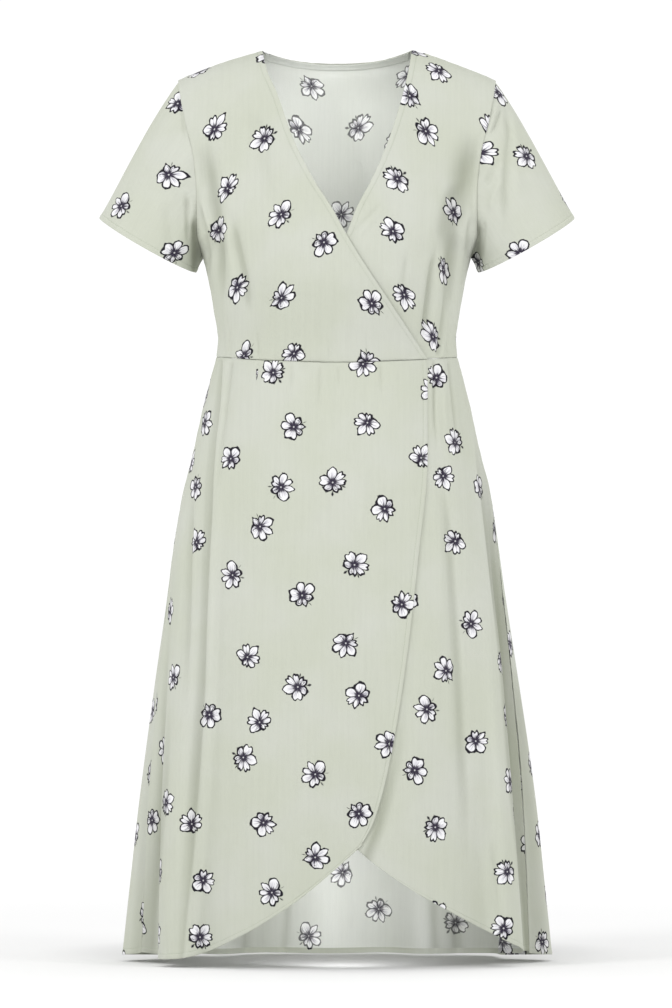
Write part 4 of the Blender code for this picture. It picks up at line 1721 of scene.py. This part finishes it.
@dataclass
class Bodice(SubAssembly):
    """The crossed fronts, the back and its narrow neck facing."""

    front: BodiceForm = field(default_factory=lambda: BodiceForm(Face.FRONT))
    back: BodiceForm = field(default_factory=lambda: BodiceForm(Face.BACK))
    shoulder_part: float = 1.0 / 6.0      # the share of the back's net on each shoulder
    facing_shares: tuple[float, float] = (0.002, 0.105)
    facing_end_turn: float = 0.02
    depth_share: float = 0.65             # the bodice's depth beside its seams, by its half width

    stitches = "bodice_stitches"

    def _gap(self, form: BodiceForm, down: Array) -> Array:
        """Half a side seam's gap, as a turn."""
        return side_gap(form.value("half_width", down) * self.depth_share, form.value("roundness", down))

    def _front_trace(self, side: Side, across: Array, down: Array) -> tuple[Array, Array]:
        """Mark out a front, from its side seam to its neckline edge.

        Args:
            side: The side that it belongs to.
            across: Shares across it.
            down: Shares down it.

        Returns:
            The turns and levels of those places.
        """
        gap = self._gap(self.front, down)
        reach = from_side(side, self.front.edge_turn(side, down))
        return from_side(side, gap + (reach - gap) * across), down

    def _back_trace(self, across: Array, down: Array) -> tuple[Array, Array]:
        """Mark out the back, with a column on each neck point.

        Args:
            across: Shares across it.
            down: Shares down it.

        Returns:
            The turns and levels of those places.
        """
        gap = self._gap(self.back, down)
        shares = [0.0, self.shoulder_part, 1.0 - self.shoulder_part, 1.0]
        turn = np.interp(across, shares, [0.0, NECK_ANGLE, math.pi - NECK_ANGLE, math.pi])
        return gap + turn * (math.pi - 2.0 * gap) / math.pi, down

    def _facing_trace(self, across: Array, down: Array) -> tuple[Array, Array]:
        """Mark out the facing under the back's neck edge, as turns and levels at shares of it."""
        end = NECK_ANGLE + self.facing_end_turn
        return end + (math.pi - 2.0 * end) * across, np.interp(down, (0.0, 1.0), self.facing_shares)

    def panels(self) -> list[Panel]:
        """Mark out the bodice's panels.

        Returns:
            The panels, not yet built.
        """
        front = partial(Panel, form=self.front, size=(0.22, 0.36), cell=(0.0019, 0.0034),
                        edges=finished(left=SEAMED, right=HEMMED, top=SEAMED, bottom=SEAMED))
        over = front(
            "over_front", "bodice_front_over", trace=partial(self._front_trace, Side.RIGHT),
            cut=Cut(0.04, 0.25), flat_cut=(0.331, 0.421), flat_area=0.0715, creases=OVER_FRONT_FOLDS,
            ripples=(Ripple(0.050, 0.110, 0.0007, 11), Ripple(0.022, 0.050, 0.00022, 12)))
        under = front(
            "under_front", "bodice_front_under", trace=partial(self._front_trace, Side.LEFT),
            cut=Cut(0.22, 0.16, True), flat_cut=(0.319, 0.421), flat_area=0.067,
            creases=UNDER_FRONT_FOLDS, shift=partial(step_back, NECKLINE),
            ripples=(Ripple(0.050, 0.110, 0.0007, 13), Ripple(0.022, 0.050, 0.00022, 14)))
        back = Panel(
            "whole_back", "bodice_back", self.back, self._back_trace,
            size=(0.40, 0.36), edges=finished(SEAMED, SEAMED, SEAMED, SEAMED), cut=Cut(0.30, 0.30),
            flat_cut=(0.415, 0.390), flat_area=0.139, cell=(0.0024, 0.0036), creases=WHOLE_BACK_FOLDS,
            ripples=(Ripple(0.060, 0.120, 0.0008, 15), Ripple(0.024, 0.050, 0.00022, 16)))
        facing = Panel(
            "neck_facing", "back_neck_facing", self.back, self._facing_trace,
            size=(0.19, 0.011), edges=finished(PLAIN, PLAIN, PLAIN, PLAIN), cut=Cut(0.30, 0.05),
            flat_cut=(0.197, 0.026), flat_area=0.0028, cell=(0.0016, 0.0016), inset=0.0011,
            wall=0.0007, plain_share=1.0, hollows=())
        return [over, under, back, facing]


RIGHT_SLEEVE_FOLDS = (
    on_front(((-0.183, 0.048), (-0.1785, 0.08), (-0.1745, 0.115)), 0.0026, -0.002),
    on_front(((-0.174, 0.165), (-0.1728, 0.195), (-0.172, 0.23)), 0.003, -0.0036),
    on_front(((-0.1655, 0.19), (-0.164, 0.225), (-0.164, 0.264)), 0.0055, -0.0022, end=0.0, shade=0.6),
    on_front(((-0.199, 0.175), (-0.195, 0.205), (-0.19, 0.24)), 0.006, -0.0018),
    on_back(((-0.183, 0.06), (-0.19, 0.11), (-0.193, 0.17)), 0.005, -0.003),
    on_back(((-0.178, 0.09), (-0.186, 0.15), (-0.187, 0.215)), 0.004, 0.0018),
    on_back(((-0.167, 0.18), (-0.164, 0.215), (-0.162, 0.255)), 0.005, -0.0016, shade=0.4),
    on_back(((-0.215, 0.09), (-0.22, 0.15), (-0.216, 0.21)), 0.008, -0.0016),
)
LEFT_SLEEVE_FOLDS = (
    on_front(((0.1935, 0.052), (0.198, 0.08), (0.2, 0.1), (0.197, 0.125), (0.1945, 0.155), (0.192, 0.185),
             (0.1895, 0.225)), 0.0044, -0.004),
    on_front(((0.207, 0.09), (0.208, 0.14), (0.205, 0.2)), 0.006, 0.0014),
    on_front(((0.1905, 0.066), (0.1845, 0.086), (0.1775, 0.103)), 0.0022, -0.003),
    on_front(((0.189, 0.058), (0.1815, 0.078), (0.1745, 0.098)), 0.0026, 0.0018),
    on_front(((0.19, 0.124), (0.178, 0.144), (0.169, 0.164)), 0.0034, -0.0022),
    on_front(((0.1915, 0.15), (0.182, 0.168), (0.1755, 0.192)), 0.004, 0.0018),
    on_front(((0.1795, 0.045), (0.1775, 0.07), (0.174, 0.094)), 0.0022, -0.002),
    on_front(((0.164, 0.195), (0.1625, 0.225), (0.1625, 0.264)), 0.0045, -0.0022, end=0.0, shade=0.55),
    on_front(((0.17, 0.195), (0.168, 0.225), (0.167, 0.25)), 0.003, -0.0018),
    on_back(((0.184, 0.06), (0.191, 0.11), (0.194, 0.18)), 0.0046, -0.0034),
    on_back(((0.212, 0.08), (0.217, 0.14), (0.213, 0.2)), 0.008, -0.0018),
    on_back(((0.168, 0.18), (0.164, 0.215), (0.162, 0.255)), 0.005, -0.0016, shade=0.4),
    on_back(((0.176, 0.11), (0.183, 0.15), (0.184, 0.2)), 0.0038, 0.0018),
)


@dataclass
class Sleeves(SubAssembly):
    """The two short set-in sleeves."""

    bodice: Bodice

    stitches = "sleeve_stitches"

    def panels(self) -> list[Panel]:
        """Mark out the two sleeves.

        Returns:
            Their panels, the wearer's right one first.
        """
        front, back = self.bodice.front, self.bodice.back
        sleeve = partial(Panel, trace=self._trace, size=(0.36, 0.15), cell=(0.0020, 0.0026),
                         edges=finished(UNDERARM, UNDERARM, top=ARMHOLE, bottom=HEMMED),
                         flat_cut=(0.376, 0.197), flat_area=0.0405, closed=True)
        right = sleeve(
            "right_sleeve", "sleeve_right", SleeveForm(Side.RIGHT, front, back),
            cut=Cut(0.155, 0.095), creases=RIGHT_SLEEVE_FOLDS,
            ripples=(Ripple(0.045, 0.090, 0.0006, 20), Ripple(0.02, 0.04, 0.0002, 24)))
        left = sleeve(
            "left_sleeve", "sleeve_left", SleeveForm(Side.LEFT, front, back),
            cut=Cut(0.06, 0.61, True), creases=LEFT_SLEEVE_FOLDS,
            ripples=(Ripple(0.045, 0.090, 0.0006, 22), Ripple(0.02, 0.04, 0.0002, 24)))
        return [right, left]

    @staticmethod
    def _trace(across: Array, down: Array) -> tuple[Array, Array]:
        """The turns and levels of shares across and down a sleeve."""
        return across * FULL_TURN, down


OVER_SKIRT_FOLDS = (
    Crease(((-0.1335, 0.358), (-0.1365, 0.41), (-0.1415, 0.455), (-0.1448, 0.5), (-0.146, 0.54),
           (-0.148, 0.58), (-0.1495, 0.62), (-0.1515, 0.67), (-0.153, 0.72), (-0.156, 0.78),
           (-0.1595, 0.83), (-0.1635, 0.88), (-0.1685, 0.94), (-0.175, 1.0), (-0.18, 1.055)), 0.0046,
           -0.0042, start=0.0, end=0.0, widen=2.6, lean=0.66, shade=0.08),
    Crease(((-0.13, 0.48), (-0.139, 0.56), (-0.144, 0.64), (-0.147, 0.74), (-0.153, 0.86), (-0.162, 1.0)),
           0.006, 0.0018),
    Crease(((-0.1215, 0.358), (-0.124, 0.385), (-0.1275, 0.415), (-0.1315, 0.45), (-0.1355, 0.49),
           (-0.14, 0.535)), 0.0022, -0.0021, start=0.0, end=0.4),
    below_seam(((-0.1275, 0.36), (-0.132, 0.42), (-0.138, 0.49)), 0.0026, 0.0012),
    Crease(((-0.1655, 0.48), (-0.169, 0.54), (-0.171, 0.6), (-0.1722, 0.66), (-0.1742, 0.72),
           (-0.176, 0.79)), 0.0052, -0.0044, lean=0.3),
    Crease(((-0.19, 0.66), (-0.193, 0.76), (-0.197, 0.84), (-0.203, 0.9), (-0.208, 0.95), (-0.2125, 1.0),
           (-0.216, 1.06)), 0.007, -0.0008, start=0.8, end=0.0, widen=1.8, lean=0.45, shade=0.52),
    below_seam(((-0.052, 0.358), (-0.054, 0.41)), 0.002, -0.0012),
    below_seam(((-0.02, 0.362), (-0.0218, 0.43)), 0.002, -0.0012),
    below_seam(((0.002, 0.362), (0.0012, 0.405)), 0.002, -0.001),
    below_seam(((0.05, 0.362), (0.0518, 0.415)), 0.002, -0.0011),
    below_seam(((-0.092, 0.358), (-0.0945, 0.4)), 0.0022, -0.0011),
)
UNDER_SKIRT_FOLDS = (
    below_seam(((0.112, 0.358), (0.1122, 0.42), (0.114, 0.45), (0.1165, 0.485)), 0.0022, -0.0024),
    below_seam(((0.129, 0.358), (0.1315, 0.385), (0.1345, 0.415), (0.137, 0.445), (0.139, 0.495)), 0.0022,
               -0.0026),
    below_seam(((0.121, 0.358), (0.1225, 0.4), (0.125, 0.45)), 0.0028, 0.0012),
    Crease(((0.1165, 0.45), (0.123, 0.51), (0.128, 0.55), (0.132, 0.6), (0.1355, 0.65), (0.139, 0.71),
           (0.142, 0.77), (0.1445, 0.83), (0.1475, 0.89), (0.148, 0.965)), 0.0064, -0.0036, lean=0.25),
    Crease(((0.16, 0.42), (0.1665, 0.5), (0.176, 0.58), (0.186, 0.665), (0.1935, 0.75), (0.2, 0.83),
           (0.2075, 0.9), (0.215, 0.97), (0.223, 1.06)), 0.009, -0.001, start=0.25, end=0.0, widen=1.5,
           lean=-0.6, shade=0.5),
    Crease(((0.185, 0.54), (0.202, 0.68), (0.215, 0.82), (0.227, 0.95), (0.235, 1.06)), 0.013, 0.0, end=0.0,
           widen=1.3, shade=0.32),
    Crease(((0.156, 0.4), (0.164, 0.48), (0.174, 0.56), (0.181, 0.64), (0.187, 0.72)), 0.005, -0.0024,
           lean=-0.4),
    Crease(((0.178, 0.9), (0.186, 0.99), (0.191, 1.05)), 0.0045, -0.0018, end=0.0),
    Crease(((0.082, 0.74), (0.066, 0.82), (0.046, 0.895), (0.029, 0.94)), 0.006, -0.0004, start=0.9,
           end=0.0, lean=-0.4, shade=0.45),
    Crease(((0.165, 0.56), (0.176, 0.7), (0.185, 0.84), (0.197, 1.0)), 0.007, 0.002),
)
REAR_SKIRT_FOLDS = (
    below_seam(((-0.07, 0.357), (-0.078, 0.47)), 0.003, -0.0026),
    below_seam(((-0.121, 0.357), (-0.131, 0.42), (-0.143, 0.52)), 0.003, -0.003),
    below_seam(((-0.105, 0.357), (-0.113, 0.46)), 0.0026, -0.0022),
    below_seam(((-0.03, 0.357), (-0.033, 0.42)), 0.0024, -0.0014),
    below_seam(((0.01, 0.357), (0.011, 0.4)), 0.0022, -0.0011),
    below_seam(((0.045, 0.357), (0.05, 0.46)), 0.003, -0.0024),
    below_seam(((0.095, 0.357), (0.104, 0.45)), 0.0028, -0.0022),
    below_seam(((0.12, 0.357), (0.13, 0.43), (0.139, 0.54)), 0.003, -0.0032),
    Crease(((0.156, 0.48), (0.17, 0.6), (0.18, 0.76)), 0.005, -0.0044),
    Crease(((-0.158, 0.46), (-0.172, 0.6), (-0.18, 0.72)), 0.005, -0.004),
    Crease(((0.06, 0.6), (0.066, 0.76), (0.064, 0.96)), 0.006, -0.003),
    Crease(((-0.05, 0.56), (-0.058, 0.74), (-0.06, 0.9)), 0.006, -0.0028),
    Crease(((0.202, 0.68), (0.215, 0.82), (0.227, 0.95), (0.235, 1.06)), 0.015, 0.0, end=0.0, widen=1.3,
           shade=0.42),
    Crease(((-0.206, 0.78), (-0.213, 0.88), (-0.222, 0.97), (-0.227, 1.06)), 0.011, 0.0, start=0.6, end=0.0,
           widen=1.2, shade=0.3),
    Crease(((0.108, 0.9), (0.113, 0.98), (0.117, 1.06)), 0.005, 0.0022, end=0.0, shade=-0.2),
    Crease(((0.133, 0.9), (0.138, 0.98), (0.143, 1.06)), 0.006, 0.0026, end=0.0, shade=-0.3),
    Crease(((-0.062, 0.92), (-0.06, 0.99), (-0.064, 1.06)), 0.0045, 0.002, end=0.0, shade=-0.2),
    Crease(((-0.1, 0.93), (-0.105, 1.0), (-0.108, 1.06)), 0.0055, 0.002, end=0.0, shade=-0.2),
    Crease(((-0.1, 0.88), (-0.11, 1.06)), 0.056, 0.0, end=0.0, shade=-0.48),
    Crease(((0.122, 0.86), (0.126, 1.06)), 0.056, 0.0, end=0.0, shade=-0.68),
)


@dataclass
class Skirt(SubAssembly):
    """The two wrapped fronts with their tulip edges and hems, and the back."""

    front: SkirtForm = field(default_factory=lambda: SkirtForm(Face.FRONT))
    back: SkirtForm = field(default_factory=lambda: SkirtForm(Face.BACK))
    back_hem_rise: float = 0.5            # how soon the back hem reaches its lowest from the sides

    stitches = "skirt_stitches"

    @staticmethod
    def _edge_turn(side: Side, drop: Array) -> Array:
        """Where a front's tulip edge lies at these drops, as turns from its own side seam."""
        share = TULIP.read(WRAPPED[side], drop) / SKIRT.read("half_width", drop)
        return from_side(side, np.arccos(np.clip(-share, -1.0, 1.0)))

    def _hem_point(self, side: Side, reach: Array) -> Array:
        """Points of a front's hem.

        Args:
            side: The side that the front belongs to.
            reach: Their shares of the way round from its side seam to its corner.

        Returns:
            The points, on the last axis.
        """
        name = WRAPPED[side]
        corner_turn = self._edge_turn(side, HEMS.columns[name][-1])
        return self.front.point(from_side(side, corner_turn * reach), HEMS.read(name, reach))

    def _back_hem_point(self, reach: Array) -> Array:
        """Points of a level line at the back hem, at shares of the way across it."""
        return self.back.point(math.pi * (1.0 + reach), np.full_like(reach, BACK_HEM_DROP))

    def _front_trace(self, side: Side, across: Array, down: Array) -> tuple[Array, Array]:
        """Mark out a front, from its side seam to its tulip edge.

        Args:
            side: The side that it belongs to.
            across: Shares across it.
            down: Shares down it.

        Returns:
            The turns and levels of those places.
        """
        name = WRAPPED[side]
        reach = even_reach(partial(self._hem_point, side))(across)
        edge_start = WAIST_DROP + SEAM + 0.5 * WAIST_DIP
        edge_drop = edge_start + (HEMS.columns[name][-1] - edge_start) * down
        gap = side_gap(SKIRT.read("front", edge_drop), SKIRT_ROUNDNESS)
        turn = gap + (self._edge_turn(side, edge_drop) - gap) * reach
        top = WAIST_DROP + SEAM + WAIST_DIP * row_rise(np.cos(turn))
        return from_side(side, turn), top + (HEMS.read(name, reach) - top) * down

    def _back_trace(self, across: Array, down: Array) -> tuple[Array, Array]:
        """Mark out the back.

        Args:
            across: Shares across it.
            down: Shares down it.

        Returns:
            The turns and levels of those places.
        """
        reach = even_reach(self._back_hem_point)(across)
        rise = np.sin(math.pi * reach) ** self.back_hem_rise
        bottom = SIDE_HEM_DROP + (BACK_HEM_DROP - SIDE_HEM_DROP) * rise
        drop = WAIST_DROP + SEAM + (bottom - WAIST_DROP - SEAM) * down
        gap = side_gap(SKIRT.read("back", drop), SKIRT_ROUNDNESS)
        return math.pi + gap + (math.pi - 2.0 * gap) * reach, drop

    def panels(self) -> list[Panel]:
        """Mark out the skirt's panels.

        Returns:
            The panels, not yet built.
        """
        front = partial(Panel, form=self.front, size=(0.42, 0.66), cell=(0.0020, 0.0042),
                        edges=finished(left=SEAMED, right=HEMMED, top=SEAMED, bottom=HEMMED))
        over = front(
            "over_skirt", "skirt_front_over", trace=partial(self._front_trace, Side.RIGHT),
            cut=Cut(), flat_cut=(0.440, 0.695), flat_area=0.236, creases=OVER_SKIRT_FOLDS,
            ripples=(Ripple(0.055, 0.260, 0.0011, 31), Ripple(0.025, 0.090, 0.00025, 32)))
        under = front(
            "under_skirt", "skirt_front_under", trace=partial(self._front_trace, Side.LEFT),
            cut=Cut(0.04, 0.565, True), flat_cut=(0.445, 0.686), flat_area=0.220,
            creases=UNDER_SKIRT_FOLDS, shift=partial(step_back, TULIP),
            ripples=(Ripple(0.055, 0.260, 0.0011, 33), Ripple(0.025, 0.090, 0.00025, 34)))
        back = Panel(
            "rear_skirt", "skirt_back", self.back, self._back_trace,
            size=(0.78, 0.70), edges=finished(SEAMED, SEAMED, top=SEAMED, bottom=HEMMED),
            cut=Cut(0.08, 0.05), flat_cut=(0.800, 0.711), flat_area=0.431, cell=(0.0030, 0.0046),
            creases=REAR_SKIRT_FOLDS,
            ripples=(Ripple(0.060, 0.260, 0.0012, 35), Ripple(0.028, 0.090, 0.00025, 36)))
        return [over, under, back]


# ---------------- the studio


@dataclass(frozen=True)
class Lamp:
    """A soft round light that looks at a target."""

    name: str
    place: Place
    size: float
    power: float
    target: Place = (0.0, 0.0, -0.5)
    spread: float = 180.0         # in degrees

    def hang(self) -> None:
        """Put the lamp in the scene, itself unseen."""
        light = bpy.data.lights.new(self.name, "AREA")
        light.shape = "DISK"
        light.size = self.size
        light.energy = self.power
        light.spread = math.radians(self.spread)
        lamp = bpy.data.objects.new(self.name, light)
        lamp.location = self.place
        way = Vector(self.target) - Vector(self.place)
        lamp.rotation_euler = way.to_track_quat("-Z", "Y").to_euler()
        lamp.visible_camera = False
        bpy.context.scene.collection.objects.link(lamp)


LAMPS = (
    Lamp("key_light", (-3.0, -3.2, 1.7), 1.6, 66.0),
    Lamp("fill_light", (3.2, -3.0, 0.9), 1.6, 42.0),
    Lamp("back_light", (1.6, 3.0, 1.4), 2.6, 6.0),
    Lamp("neck_glow", (-0.025, -0.015, -0.130), 0.160, 0.101, (0.0, 1.0, -0.080)),
    Lamp("hem_glow", (0.005, -0.160, -0.985), 0.070, 0.262, (0.0, 1.0, -0.945), 100.0),
)


@dataclass
class Studio:
    """The floor, the lights and the camera."""

    floor_drop: float = 0.0015       # below the dress
    floor_size: float = 80.0
    floor_near: float = 0.82         # the lights brighten the floor near the dress
    floor_far: float = 0.965
    floor_fade: tuple[float, float] = (1.0, 3.2)
    floor_roughness: float = 0.9
    shade_tone: float = 0.70         # the floor's tone in the dress's painted shadow
    shade_middle: float = 0.24       # how far behind the origin that oval lies
    shade_oval: tuple[float, float] = (0.30, 0.30)
    shade_edge: tuple[float, float] = (0.72, 1.25)
    sky: float = 1.05                # strength of the white light from all round
    camera: Place = (-0.0012, -10.0, -0.5275)
    lens: float = 307.3
    sensor: float = 36.0
    sight: float = 200.0             # how far the camera sees

    def build(self) -> None:
        """Set up the studio."""
        bpy.context.scene.view_settings.view_transform = "Standard"
        self._floor(float(CAD_BOX[0][2]) - self.floor_drop)
        self._world()
        for lamp in LAMPS:
            lamp.hang()
        self._camera()

    def _camera(self) -> None:
        """A level camera in front of the dress."""
        camera = bpy.data.cameras.new("camera")
        camera.lens = self.lens
        camera.sensor_width = self.sensor
        camera.clip_end = self.sight
        view = bpy.data.objects.new("camera", camera)
        view.location = self.camera
        view.rotation_euler = (math.pi / 2.0, 0.0, 0.0)
        bpy.context.scene.collection.objects.link(view)
        bpy.context.scene.camera = view

    def _floor(self, height: float) -> None:
        """Lay a wide pale floor.

        Args:
            height: The z of its top.
        """
        bpy.ops.mesh.primitive_plane_add(size=self.floor_size, location=(0.0, 0.0, height))
        floor = bpy.context.object
        floor.name = "floor"
        floor.data.materials.append(self._floor_finish())

    def _floor_finish(self) -> bpy.types.Material:
        """Colour the floor, paler far off and darker in a painted shadow of the dress.

        Returns:
            The material, which reads Object coordinates.
        """
        shader = Shader("floor")
        place = shader.node("ShaderNodeTexCoord", None, (), "Object")
        away = shader.node("ShaderNodeVectorMath", {"operation": "LENGTH"}, [place], "Value")
        open_floor = shader.mix(away.rise(*self.floor_fade), (self.floor_near,) * 3, (self.floor_far,) * 3)
        offset = shader.node("ShaderNodeVectorMath", {"operation": "SUBTRACT"},
                             [place, (0.0, self.shade_middle, 0.0)])
        offset = shader.node("ShaderNodeVectorMath", {"operation": "DIVIDE"},
                             [offset, (*self.shade_oval, 1.0)])
        reach = shader.node("ShaderNodeVectorMath", {"operation": "LENGTH"}, [offset], "Value")
        # Paint the dress's shadow on the floor: darker inside an oval under and behind it.
        colour = shader.mix(reach.fall(*self.shade_edge), open_floor, (self.shade_tone,) * 3)
        return shader.finish(colour, None, 0.0, Roughness=self.floor_roughness, Specular_IOR_Level=0.0)

    def _world(self) -> None:
        """Soft white light from all round."""
        world = bpy.data.worlds.new("studio")
        world.use_nodes = True
        background = world.node_tree.nodes["Background"]
        background.inputs["Color"].default_value = (1.0, 1.0, 1.0, 1.0)
        background.inputs["Strength"].default_value = self.sky
        bpy.context.scene.world = world


# ---------------- the whole


def main() -> None:
    """Set up the studio, build the dress's panels and sew their bands."""
    logging.basicConfig(level=logging.INFO, format="%(message)s")
    Studio().build()
    outside = Viscose("viscose_outside").material()
    inside = Viscose("viscose_inside", ground=(0.68, 0.70, 0.65), mottle=(0.70, 0.715, 0.68),
                     petal=(0.93, 0.93, 0.93), strength=0.80, whiteness=0.95, side=-0.6).material()
    bodice = Bodice()
    assemblies = (bodice, Sleeves(bodice), Skirt())
    for assembly in assemblies:
        assembly.build(outside, inside)
    thread = Thread().material()
    for assembly in assemblies:
        assembly.sew(thread)


if __name__ == "__main__":
    main()
